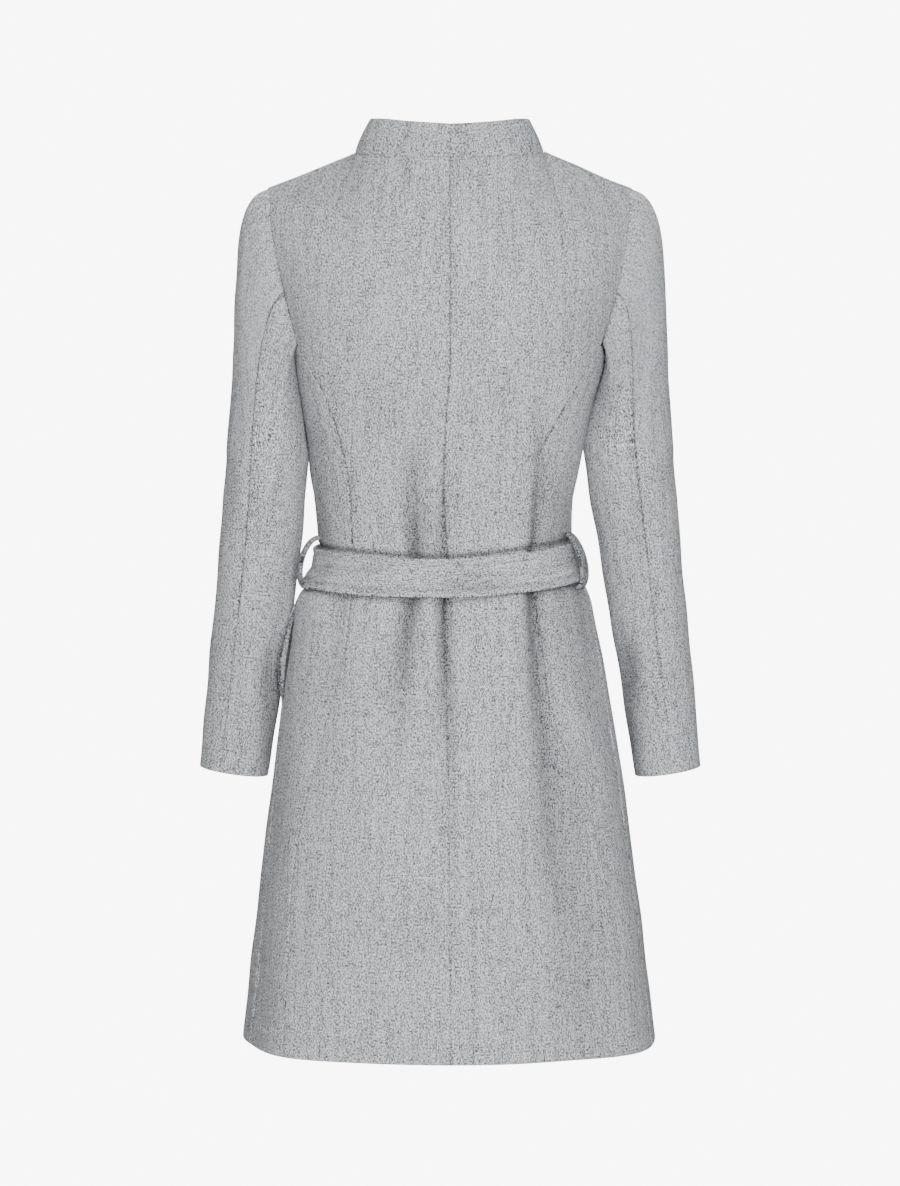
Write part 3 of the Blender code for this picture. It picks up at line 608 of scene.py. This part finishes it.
def back_grid(side):
    shares = spaced(0.14)
    share, height = np.meshgrid(shares, LOWER_HEIGHTS)
    lower = body_surface(princess_angle(height, side) * share, height)
    share, t = np.meshgrid(shares, UPPER_SHARES)
    upper = back_patch(share, t) * (side, 1, 1)
    return np.concatenate((lower, upper))


BACKWARDS = np.array((0.0, 1.0, 0.25))
for side, word in ((1, "left"), (-1, "right")):
    grid, shade = settle(back_grid(side), BACK_CREASES, BACKWARDS, 3.0)
    back = cloth("coat_back_" + word, grid, BACKWARDS, wool_back,
                 "lrt", "b", grain=0.0, shallow="t", shade=shade)
    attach(back, "root")
    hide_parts("back_" + word)


# Side backs: the panels between the princess seams and the side seams, felted wool, cut to
# flare towards the hem. They end at the bottom of the armholes, and the left one forms the
# back edge of the pocket mouth.
# Side seams: height, angle on the left and on the right
SIDE_SEAM = (
    (-0.940, 76.0, 73.0),
    (-0.560, 82.0, 72.0),
    (-0.450, 84.0, 78.0),
    (-0.300, 89.0, 88.0),
    (-0.193, 90.0, 90.0),
)


def side_angle(height, side):
    return side * read_table(SIDE_SEAM, height)[0 if side > 0 else 1]


def underarm_height(angle, height):
    """Rows near the armpit dip to the bottom of the armhole at the side seam."""
    near = smooth((height - DIP_START) / (ARMPIT - DIP_START))
    inside = np.maximum(1 - np.abs(np.abs(angle) - 90.0) / (90.0 - CORNER), 0.0)
    return height - near * ARMPIT_DIP * np.sin(math.pi / 2 * inside)


# This copy of the wool is a little darker all over, painted shade for the side backs.
wool_side = wool("wool_side", DARK_FIBRE, LIGHT_FIBRE, 0.985)
SIDE_SHARES = spaced(0.055)
for side, word in ((1, "left"), (-1, "right")):
    share, height = np.meshgrid(SIDE_SHARES, SIDE_HEIGHTS)
    angle = princess_angle(height, side) * (1 - share) + side_angle(height, side) * share
    grid = body_surface(angle, underarm_height(angle, height))
    outwards = np.array((side, 0.6, 0.0))
    grid, shade = settle(grid, BACK_CREASES, outwards, 3.0)
    piece = cloth("coat_side_back_" + word, grid, outwards, wool_side, "lrt", "b", shade=shade)
    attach(piece, "root")
    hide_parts("side_back_" + word)

# Fronts: left and right, felted wool, each cut from the side seam to the wrap edge, with the
# front armhole and the neckline above. The right one laps over the left; the mouth of the
# left pocket stands off the hip.
# How far each front reaches past the centre front: height, reach
WRAP = (
    (-0.940, 0.115),
    (-0.500, 0.110),
    (-0.400, 0.100),
    (-0.330, 0.075),
    (-0.260, 0.035),
    (-0.193, -0.004),
)
# Front armhole: share of the way up, height, distance from the centre, depth
ARMHOLE_FRONT = (
    (0.00, -0.193, 0.1624, -0.0420),
    (0.25, -0.155, 0.1660, -0.0500),
    (0.50, -0.112, 0.1720, -0.0480),
    (0.75, -0.066, 0.1840, -0.0310),
    (1.00, -0.024, 0.1945, 0.0020),
)
LAP = 0.0042
POCKET_LOW, POCKET_HIGH, POCKET_LIP, MOUTH_GLOOM = -0.585, -0.462, 0.0120, 0.9
UNDERARM_SHARE = 0.2
# Creases of the fronts, in the same columns as those of the back
FRONT_CREASES = (
    (0.095, -0.300, 0.060, -0.408, 0.004, 0.014, 0.010, -0.0048, 0.38),
    (0.060, -0.330, 0.030, -0.410, 0.002, 0.014, 0.012, -0.0042, 0.34),
    (-0.085, -0.290, -0.050, -0.408, -0.004, 0.015, 0.010, -0.0050, 0.40),
    (-0.120, -0.310, -0.112, -0.405, 0.000, 0.014, 0.012, -0.0038, 0.30),
    (0.118, -0.320, 0.110, -0.405, 0.000, 0.014, 0.012, -0.0036, 0.29),
    (-0.100, -0.205, -0.155, -0.150, 0.004, 0.020, 0.020, -0.0022, 0.18),
    (0.100, -0.205, 0.155, -0.150, -0.004, 0.020, 0.020, -0.0020, 0.16),
    (-0.058, -0.448, -0.085, -0.760, -0.004, 0.011, 0.034, -0.0075, 0.60),
    (-0.110, -0.448, -0.150, -0.820, 0.004, 0.012, 0.036, -0.0070, 0.56),
    (0.085, -0.448, 0.132, -0.840, 0.004, 0.012, 0.038, -0.0078, 0.62),
    (-0.030, -0.460, -0.038, -0.800, 0.002, 0.018, 0.040, 0.0040, 0.00),
    (0.128, -0.450, 0.176, -0.760, 0.003, 0.014, 0.030, -0.0050, 0.40),
)


def wrap_angle(height, side):
    return angle_at(-read_table(WRAP, height)[0], height, side, front=True)


def front_neck(t):
    """The neckline of a front, from the crossing up to the side of the neck."""
    start = body_surface(wrap_angle(np.array([ARMPIT]), 1), ARMPIT)[0]
    bend = np.array((0.080, -0.098, -0.085))
    return between(between(start, bend, t), between(bend, SIDE_NECK, t), t)


def front_patch(u, t):
    last = wrap_angle(np.array([ARMPIT]), 1)[0]
    return blend_patch(front_neck, lambda t: edge_curve(ARMHOLE_FRONT, t),
                       lambda u: body_surface(last + (180.0 - CORNER - last) * u, ARMPIT + 0 * u),
                       lambda u: between(SIDE_NECK, SHOULDER_POINT, u), u, t)


def front_grid(side):
    under = spaced(0.07, fine_end=False)
    over = spaced(0.21, fine_start=False)
    shares = np.concatenate((under * UNDERARM_SHARE, UNDERARM_SHARE + (1 - UNDERARM_SHARE) * over[1:]))
    share, height = np.meshgrid(shares, LOWER_HEIGHTS)
    knee = side * (180.0 - CORNER)
    first = side_angle(height, side)
    low = first + (knee - first) * share / UNDERARM_SHARE
    high_share = (share - UNDERARM_SHARE) / (1 - UNDERARM_SHARE)
    angle = np.where(share < UNDERARM_SHARE, low, knee + (wrap_angle(height, side) - knee) * high_share)
    grid = body_surface(angle, underarm_height(angle, height))
    outwards = unit(grid * (1, 1, 0) - np.array((0.004, 0, 0)))
    way = (height - POCKET_LOW) / (POCKET_HIGH - POCKET_LOW)
    lip = POCKET_LIP * np.sin(math.pi * np.clip(way, 0, 1)) ** 1.5 * np.exp(-(share * 0.35 / 0.011) ** 2)
    lapped = -LAP * smooth((np.abs(angle) - 112.0) / 30.0)
    lift = lapped + lip if side > 0 else 0 * lip
    grid = grid + outwards * lift[..., None]
    u, t = np.meshgrid(1 - (shares - UNDERARM_SHARE) / (1 - UNDERARM_SHARE), UPPER_SHARES)
    upper = front_patch(np.clip(u, 0, 1), t) * (side, 1, 1)
    sink = lapped[-1:] * (1 - smooth(t / 0.6)) if side > 0 else 0 * t
    upper = upper + np.array((0, -1.0, 0)) * sink[..., None]
    missing = np.zeros((len(LOWER_HEIGHTS) + len(UPPER_SHARES) - 1, len(shares) - 1), bool)
    edge = len(under) - 1
    missing[len(LOWER_HEIGHTS) - 1:, : edge - 1] = True
    armhole_edge, beside = upper[:, edge:edge + 1], upper[:, edge + 1:edge + 2]
    upper[:, :edge] = (armhole_edge + unit(armhole_edge - beside) * 2 * ALLOWANCE
                       - unit(armhole_edge * (1, 1, 0)) * ALLOWANCE)
    return np.concatenate((grid, upper)), missing


FORWARDS = np.array((0.0, -1.0, 0.2))
wool_front = wool("wool_front", DARK_FIBRE, LIGHT_FIBRE)
for side, word in ((1, "left"), (-1, "right")):
    grid, missing = front_grid(side)
    outwards = unit(grid * (1, 1, 0)) + np.array((0, 0, 0.3))
    grid, shade = settle(grid, FRONT_CREASES, outwards, 5.0 + side)
    # Painted shade in the mouth of the left pocket: the first columns of the left front are darker between
    # its ends.
    if side > 0:
        way = np.clip((grid[:, :3, 2] - POCKET_LOW) / (POCKET_HIGH - POCKET_LOW), 0, 1)
        shade[:, :3] = np.maximum(shade[:, :3], MOUTH_GLOOM * np.sin(math.pi * way) ** 0.5)
    piece = cloth("coat_front_" + word, grid, outwards, wool_front, "lt", "br", missing=missing,
                  grain=0.6, shallow="t", shade=shade)
    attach(piece, "root")
    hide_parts("front_" + word)

# Collar: a stand collar in two halves, each folded from two layers of wool and seamed at the
# centre back. It leans in to the neck behind and runs on down the fronts to the wrap.
# Rise of the collar: share of the way from the centre back, outwards, up, backwards
COLLAR = (
    (0.00, 0.000, 0.0368, -0.011),
    (0.12, -0.003, 0.0388, -0.010),
    (0.22, -0.007, 0.0402, -0.009),
    (0.30, -0.010, 0.0388, -0.006),
    (0.36, -0.014, 0.0365, -0.004),
    (0.40, -0.015, 0.0338, -0.003),
    (0.55, -0.018, 0.0280, -0.007),
    (0.70, -0.020, 0.0210, -0.009),
    (0.85, -0.014, 0.0130, -0.007),
    (1.00, -0.003, 0.0050, -0.003),
)
COLLAR_BACK, COLLAR_END, DOUBLE_CLOTH = 0.40, 0.86, 0.0040
# This copy of the wool is darker all over, painted shade for the collar.
wool_collar = wool("wool_collar", DARK_FIBRE, LIGHT_FIBRE, 0.92)
# Creases of the collar, in the same columns as those of the back; the last is the strength of the painted
# shade.
COLLAR_CREASES = (
    (0.012, 0.004, 0.010, 0.036, 0.000, 0.004, 0.004, 0.0010, 0.00),
    (-0.030, 0.006, -0.052, 0.034, 0.002, 0.008, 0.008, -0.0009, 0.05),
    (0.045, 0.006, 0.060, 0.036, 0.002, 0.008, 0.008, -0.0008, 0.05),
)
for side, word in ((1, "left"), (-1, "right")):
    s, w = np.meshgrid(spaced(0.33), spaced(0.037))
    behind = back_top(NECK_SHARE * np.clip(s / COLLAR_BACK, 0, 1))
    ahead = front_neck(1 - COLLAR_END * np.clip((s - COLLAR_BACK) / (1 - COLLAR_BACK), 0, 1))
    base = np.where((s <= COLLAR_BACK)[..., None], behind, ahead)
    out, rise, lean = read_table(COLLAR, s)
    stand = point(out, lean, rise)
    grid = base + stand * w[..., None] + unit(stand) * 0.0002
    outwards = unit(grid * (1, 1, 0) + np.array((0, 0.02, 0)))
    grid = grid + facing(grid, outwards) * (0.0015 * np.sin(math.pi * w))[..., None]
    grid = grid * (side, 1, 1)
    outwards = outwards * (side, 1, 1)
    grid, shade = settle(grid, COLLAR_CREASES, outwards, 7.0, pinched=False)
    piece = cloth("coat_collar_" + word, grid, outwards, wool_collar, "lb", "tr", wall=DOUBLE_CLOTH,
                  shallow="lb", shade=shade)
    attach(piece, "root")
    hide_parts("collar_" + word)

# Sleeves: a top and an under piece for each arm, felted wool, seamed down the back of the arm
# and under it. The head is eased into the armhole and turns down over the shoulder; the cuffs
# are plain folded edges.
# Rings of the sleeve: height, inner and outer edge on the left, then on the right, middle depth,
# half depth
SLEEVE = (
    (-0.649, 0.1990, 0.2735, 0.2015, 0.2730, -0.030, 0.045),
    (-0.629, 0.1950, 0.2717, 0.1981, 0.2710, -0.028, 0.046),
    (-0.575, 0.1862, 0.2668, 0.1893, 0.2678, -0.022, 0.048),
    (-0.521, 0.1775, 0.2616, 0.1800, 0.2615, -0.016, 0.050),
    (-0.467, 0.1688, 0.2546, 0.1708, 0.2555, -0.010, 0.052),
    (-0.413, 0.1612, 0.2492, 0.1625, 0.2508, -0.005, 0.054),
    (-0.359, 0.1556, 0.2448, 0.1515, 0.2468, 0.000, 0.056),
    (-0.305, 0.1516, 0.2415, 0.1440, 0.2420, 0.002, 0.058),
)
HEM_OF_ARM, CUFF_SLANT = -0.649, 0.0110
SLEEVE_TWIST = {1: -5.0, -1: 10.0}
SLEEVE_CLEAR, BODY_CLEAR, TURN_CORNER, CAP_END = -0.0014, 0.0005, 106.0, -0.305
ARMHOLE_STEPS = (1.0, 0.93, 0.82, 0.67, 0.50, 0.33, 0.16, 0.0)
UNDER_FIRST, UNDER_LAST = 75.7, 254.0
# Creases of an arm: across, height, across, height, bend, width at the two ends, depth,
# strength of the painted shade that darkens the crease
SLEEVE_CREASES = (
    (0.172, -0.345, 0.214, -0.388, 0.004, 0.010, 0.012, -0.0030, 0.15),
    (0.170, -0.385, 0.222, -0.420, 0.004, 0.009, 0.012, -0.0026, 0.13),
    (0.178, -0.430, 0.228, -0.470, -0.003, 0.010, 0.012, -0.0022, 0.11),
    (0.250, -0.300, 0.226, -0.360, 0.003, 0.012, 0.014, -0.0018, 0.09),
    (0.186, -0.500, 0.206, -0.600, 0.002, 0.010, 0.012, -0.0024, 0.12),
    (0.245, -0.520, 0.236, -0.610, -0.002, 0.012, 0.014, -0.0016, 0.08),
    (0.196, -0.130, 0.190, -0.240, 0.003, 0.010, 0.014, -0.0024, 0.12),
    (0.228, -0.200, 0.222, -0.290, 0.002, 0.014, 0.016, -0.0014, 0.07),
    (0.190, -0.470, 0.1990, -0.760, 0.000, 0.010, 0.014, -0.0010, 0.66),
    (0.166, -0.150, 0.160, -0.330, 0.000, 0.012, 0.012, -0.0005, 0.34),
)


def armhole(turn):
    """Places round the left armhole: 0 at the shoulder, 180 at the side seam, back first."""
    turn = turn % 360.0
    stops = np.linspace(0.0, TURN_CORNER, len(ARMHOLE_STEPS))
    behind = edge_curve(ARMHOLE_BACK, np.interp(turn, stops, ARMHOLE_STEPS))
    ahead = edge_curve(ARMHOLE_FRONT, np.interp(360.0 - turn, stops, ARMHOLE_STEPS))
    bends = (TURN_CORNER, 180.0, 360.0 - TURN_CORNER)
    angle = np.interp(turn, bends, (CORNER, 90.0, 180.0 - CORNER))
    under = body_surface(angle, underarm_height(angle, ARMPIT + 0 * angle))
    early, late = (turn < TURN_CORNER)[..., None], (turn > 360.0 - TURN_CORNER)[..., None]
    return np.where(early, behind, np.where(late, ahead, under))


def sleeve_ring(turn, height, side):
    row = read_table(SLEEVE, height)
    inside, outside = row[0:2] if side > 0 else row[2:4]
    a = np.radians(turn + SLEEVE_TWIST[side])
    across = (inside + outside) / 2 + (outside - inside) / 2 * np.cos(a)
    return point(across, row[4] + row[5] * np.sin(a), height)


def beside_body(places, side):
    """Moves places that would lie in the side of the body out to its cloth."""
    across, depth, height = places[..., 0], places[..., 1], places[..., 2]
    angles = np.linspace(40.0, 140.0, 101)
    body = body_surface(side * angles, np.minimum(height, ARMPIT)[..., None] + 0 * angles)
    nearest = np.abs(body[..., 1] - depth[..., None]).argmin(-1)[..., None]
    wall = side * np.take_along_axis(body[..., 0], nearest, -1)[..., 0]
    wall = np.where(height < ARMPIT - ARMPIT_DIP / 2, wall + BODY_CLEAR, -1.0)
    return point(np.maximum(across, wall), depth, height)


def sleeve_head(turn, share, side):
    """From the armhole down to the upper arm, leaving the seam outwards before it drops."""
    a = np.radians(turn)
    start, end = armhole(turn), sleeve_ring(turn, CAP_END + 0 * turn, side)
    reach = np.linalg.norm(end - start, axis=-1, keepdims=True)
    close = 0.36 * np.maximum(-np.cos(a), 0.0) ** 1.5
    leave = point(0.37 + 0.13 * np.cos(a) - close, 0.15 * np.sin(a), -0.40 + 0.35 * np.cos(a))
    arrive = point(0.08 + 0.07 * np.cos(a), 0.0, -1.4 - 0.4 * np.cos(a))
    s = share[..., None]
    curve = start * (2 * s ** 3 - 3 * s ** 2 + 1) + leave * reach * (s ** 3 - 2 * s ** 2 + s)
    curve = curve + end * (3 * s ** 2 - 2 * s ** 3) + arrive * reach * (s ** 3 - s ** 2)
    curve = curve + unit(leave) * SLEEVE_CLEAR * (1 - s)
    return beside_body(curve, side)


def sleeve_grid(side, first, last):
    arc = 0.30 * (last - first) / 360.0
    turns = first + (last - first) * spaced(arc)
    up = spaced(CAP_END - HEM_OF_ARM, fine_end=False, pitch=GRID_UP)
    turn, height = np.meshgrid(turns, HEM_OF_ARM + (CAP_END - HEM_OF_ARM) * up)
    arm = sleeve_ring(turn, height, side)
    inner = 0.5 - 0.5 * np.cos(np.radians(turn + SLEEVE_TWIST[side]))
    arm[..., 2] = height - CUFF_SLANT * inner * smooth((-0.40 - height) / 0.24)
    turn, share = np.meshgrid(turns, 1 - spaced(0.28, fine_start=False, pitch=GRID_UP)[1:])
    return np.concatenate((arm, sleeve_head(turn, share, side)))


wool_top_sleeve = wool("wool_top_sleeve", DARK_FIBRE, LIGHT_FIBRE)
# The under sleeves' copy of the wool is a little darker all over, painted shade.
wool_under_sleeve = wool("wool_under_sleeve", DARK_FIBRE, LIGHT_FIBRE, 0.98)
for side, word in ((1, "left"), (-1, "right")):
    for kind, first, last, material, flat, area in (
            ("top_sleeve", UNDER_LAST, 360.0 + UNDER_FIRST, wool_top_sleeve, (0.250, 0.640), 0.1080),
            ("under_sleeve", UNDER_FIRST, UNDER_LAST, wool_under_sleeve, (0.160, 0.520), 0.0620)):
        grid = sleeve_grid(side, first, last)
        down = np.maximum(CAP_END - grid[..., 2], 0)
        core = point(0.200 + 0.1 * down, -0.004 - 0.075 * down, np.minimum(grid[..., 2], -0.16))
        outwards = unit(grid - core)
        grid, shade = settle(grid, SLEEVE_CREASES, outwards, 9.0 + side, pinched=False)
        grid, outwards = grid * (side, 1, 1), outwards * (side, 1, 1)
        piece = cloth("coat_" + kind + "_" + word, grid, outwards, material, "lrt", "b", tuck=0.0030,
                      shallow="t", shade=shade)
        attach(piece, "root")
        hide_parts(kind + "_" + word)

# Belt: a long band of wool folded double and stitched along both edges, drawn round the waist
# through the two loops. It lies a little uneven, with soft lengthwise creases where it is
# pulled tight.
BELT_LIFT, BELT_END = 0.0062, 176.0
BELT_STITCH = 0.0075
# Creases along the belt: angle, share of its height, angle, share, half width, depth
BELT_CREASES = (
    (-40.0, 0.20, 30.0, 0.45, 0.10, -0.0009),
    (-75.0, 0.62, -5.0, 0.40, 0.09, -0.0008),
    (15.0, 0.72, 72.0, 0.55, 0.10, -0.0010),
    (45.0, 0.35, 95.0, 0.45, 0.08, -0.0009),
    (-60.0, 0.80, -20.0, 0.74, 0.07, 0.0006),
    (110.0, 0.30, 170.0, 0.55, 0.10, -0.0010),
    (-170.0, 0.60, -110.0, 0.35, 0.10, -0.0010),
    (-120.0, 0.70, -80.0, 0.60, 0.08, -0.0007),
)


def belt_height(angle):
    return read_table(BELT_PATH, angle)[0]


def off_body(angle, height, lift):
    """Places this far outside the body's cloth."""
    along = body_surface(angle + 1.0, height) - body_surface(angle - 1.0, height)
    up = body_surface(angle, height + 0.004) - body_surface(angle, height - 0.004)
    away = unit(np.cross(along, up))
    here = body_surface(angle, height)
    away = away * np.sign((away * here * (1, 1, 0)).sum(-1, keepdims=True))
    return here + away * np.asarray(lift * np.ones_like(height))[..., None]


# The belt's copy of the wool is a little lighter all over, painted light; the knot and the tails share it.
wool_belt = wool("wool_belt", DARK_FIBRE, LIGHT_FIBRE, 1.02)
turns = BELT_END * (2 * spaced(0.88) - 1)
angle, share = np.meshgrid(turns, spaced(2 * BELT_HALF))
lift = 0.0008 * np.sin(angle * 0.11) * np.sin(math.pi * share) - 0.0006 * np.cos(angle * 0.19 + 1.0)
for angle0, share0, angle1, share1, wide, depth in BELT_CREASES:
    way = (angle - angle0) / (angle1 - angle0)
    aside = share - share0 - (share1 - share0) * way
    lift = lift + depth * smooth(way / 0.3) * smooth((1 - way) / 0.3) * np.exp(-(aside / wide) ** 2)
# Painted shade on the belt: darker away from the centre back, in its creases and along both stitch lines,
# most along the lower one.
gloom = 0.24 * smooth((np.abs(angle - 2.0) - 30.0) / 45.0)
gloom = gloom + 220.0 * np.maximum(-lift, 0)
for edge in (BELT_STITCH, 2 * BELT_HALF - BELT_STITCH):
    stitches = np.exp(-((share * 2 * BELT_HALF - edge) / 0.0010) ** 2)
    lift = lift - 0.0009 * stitches
    gloom = gloom + (0.34 if edge == BELT_STITCH else 0.10) * stitches
level = belt_height(angle) + BELT_HALF * (2 * share - 1)
grid = off_body(angle, level, BELT_LIFT + lift)
outwards = grid * (1, 1, 0)
belt = cloth("coat_belt", grid, outwards, wool_belt, "", "tblr", wall=DOUBLE_CLOTH, along=True,
             shade=np.clip(gloom, 0, 0.6))
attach(belt, "root")
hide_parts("belt")

# Belt knot: the belt's own end taken once over itself at the centre front, drawn in at both
# sides so that the cloth gathers into soft pleats.
KNOT_WIDE, KNOT_DEEP, KNOT_TALL, KNOT_LIFT = 0.0205, 0.0105, 0.0255, 0.0176
knot_height = belt_height(np.array([180.0]))
knot_centre = off_body(np.array([180.0]), knot_height, KNOT_LIFT)[0]
around, share = np.meshgrid(np.radians(np.linspace(-180.0, 180.0, 61)), spaced(2 * KNOT_WIDE))
side_way = 2 * share - 1
drawn = 1 - 0.24 * np.abs(side_way) ** 3.0
pleat = 1 + 0.045 * np.sin(side_way * 7.0 + 1.1 * np.sin(around * 2.0) + 0.6)
squared = np.sign(np.cos(around)) * np.abs(np.cos(around)) ** 0.7
raised = np.sign(np.sin(around)) * np.abs(np.sin(around)) ** 0.75
grid = knot_centre + point(KNOT_WIDE * side_way + 0.002 * np.sin(around),
                           -KNOT_DEEP * drawn * pleat * squared,
                           KNOT_TALL * drawn * pleat * raised + 0.004 * side_way)
outwards = unit(grid - knot_centre)
knot = cloth("coat_belt_knot", grid, outwards, wool_belt, "", "lr", wall=0.0030)
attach(knot, "root")
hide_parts("belt_knot")

# Belt tails: the two free ends, folded double and stitched like the belt. They come out from
# under the knot and hang down the front of the skirt.
TAIL_LENGTHS = {1: 0.34, -1: 0.38}
for side, word in ((1, "left"), (-1, "right")):
    share, down = np.meshgrid(spaced(2 * BELT_HALF), 1 - spaced(TAIL_LENGTHS[side], pitch=GRID_UP))
    drop = TAIL_LENGTHS[side] * down
    height = belt_height(180.0 + 0 * drop) - 0.006 - drop
    open_out = smooth((drop - 0.021) / 0.030)
    reach = 0.0010 + 0.004 * open_out + 0.03 * drop + (0.006 + (2 * BELT_HALF - 0.006) * open_out) * share
    angle = angle_at(reach + side * read_table(BODY, height)[3], height, side, front=True)
    lift = 0.0042 + 0.0022 * open_out + 0.0012 * open_out * np.sin(drop * 21.0 + side) * (share - 0.3)
    lift = lift - 0.0020 * (1 - open_out) * np.sin(math.pi * share) * smooth(drop / 0.02)
    for edge in (BELT_STITCH, 2 * BELT_HALF - BELT_STITCH):
        lift = lift - 0.0006 * open_out * np.exp(-((share * 2 * BELT_HALF - edge) / 0.0011) ** 2)
    grid = off_body(angle, height, lift)
    tail = cloth("coat_belt_tail_" + word, grid, FORWARDS, wool_belt, "", "lrb", wall=0.0030)
    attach(tail, "root")
    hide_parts("belt_tail_" + word)

# Belt loops: narrow strips folded and stitched, sewn on above and below the belt at the side
# seams, standing away from the coat in an arch that the belt runs through.
LOOP_WIDTH, LOOP_CLOTH, LOOP_CLEAR = 0.012, 0.0050, 0.0006
LOOP_REACH = {1: 0.0170, -1: 0.0150}
# Angle of each loop's lower and upper end, their heights, and how far its face turns back
LOOP_ANGLES = {1: (68.0, 77.0), -1: (-64.0, -65.0)}
LOOP_HEIGHTS = {1: (-0.4540, -0.3960), -1: (-0.4535, -0.3905)}
LOOP_TURN = {1: 0.0, -1: 0.30}
# The loops' copy of the wool is much darker all over, painted shade.
wool_loop = wool("wool_loop", DARK_FIBRE, LIGHT_FIBRE, 0.42)
for side, word in ((1, "left"), (-1, "right")):
    low, high = LOOP_HEIGHTS[side]
    share, turn = np.meshgrid(spaced(LOOP_WIDTH), np.radians(np.linspace(-90.0, 90.0, 49)))
    rise = 0.5 + 0.5 * np.sin(turn)
    arch = np.maximum(np.cos(turn), 0) ** 0.9
    ends = [off_body(LOOP_ANGLES[side][k] + 0 * share, LOOP_HEIGHTS[side][k] + 0 * share, LOOP_CLEAR)
            for k in (0, 1)]
    base = between(ends[0], ends[1], rise)
    away = unit(base * (1, 1, 0))
    tangent = away[..., [1, 0, 2]] * (side, -side, 0)
    width_way = unit(between(tangent, np.array((side, 0.0, 0.0)) + 0 * tangent, LOOP_TURN[side] * arch))
    reach = (LOOP_REACH[side] - 0.0012 * np.sin(share * math.pi) ** 2) * arch
    grid = base + away * reach[..., None] + width_way * (LOOP_WIDTH * (share - 0.5))[..., None]
    outwards = away + unit(grid - between(ends[0], ends[1], 0.5 + 0 * rise))
    loop = cloth("coat_belt_loop_" + word, grid, outwards, wool_loop, "", "lr", wall=LOOP_CLOTH)
    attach(loop, "root")
    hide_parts("belt_loop_" + word)

# Pocket facing: the strip of wool just inside the mouth of the left pocket, seen in the gap
# between the lip of the front and the side back.
# Its copy of the wool is darkened to near black, painted shade for the deep gap.
wool_pocket_in_painted_shade = wool("wool_pocket_in_painted_shade", DARK_FIBRE, LIGHT_FIBRE, 0.16)
share, height = np.meshgrid(spaced(0.020), POCKET_LOW + 0.004 + 0.115 * spaced(0.115))
angle = side_angle(height, 1) - 1.5 + 8.0 * share
way = (height - POCKET_LOW) / (POCKET_HIGH - POCKET_LOW)
grid = off_body(angle, height, -0.0045 + 0.0105 * smooth(share) * np.sin(math.pi * way))
facing_strip = cloth("coat_pocket_facing_left", grid, grid * (1, 1, 0), wool_pocket_in_painted_shade, "", "lrtb", wall=0.0020)
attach(facing_strip, "root")
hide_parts("pocket_facing_left")
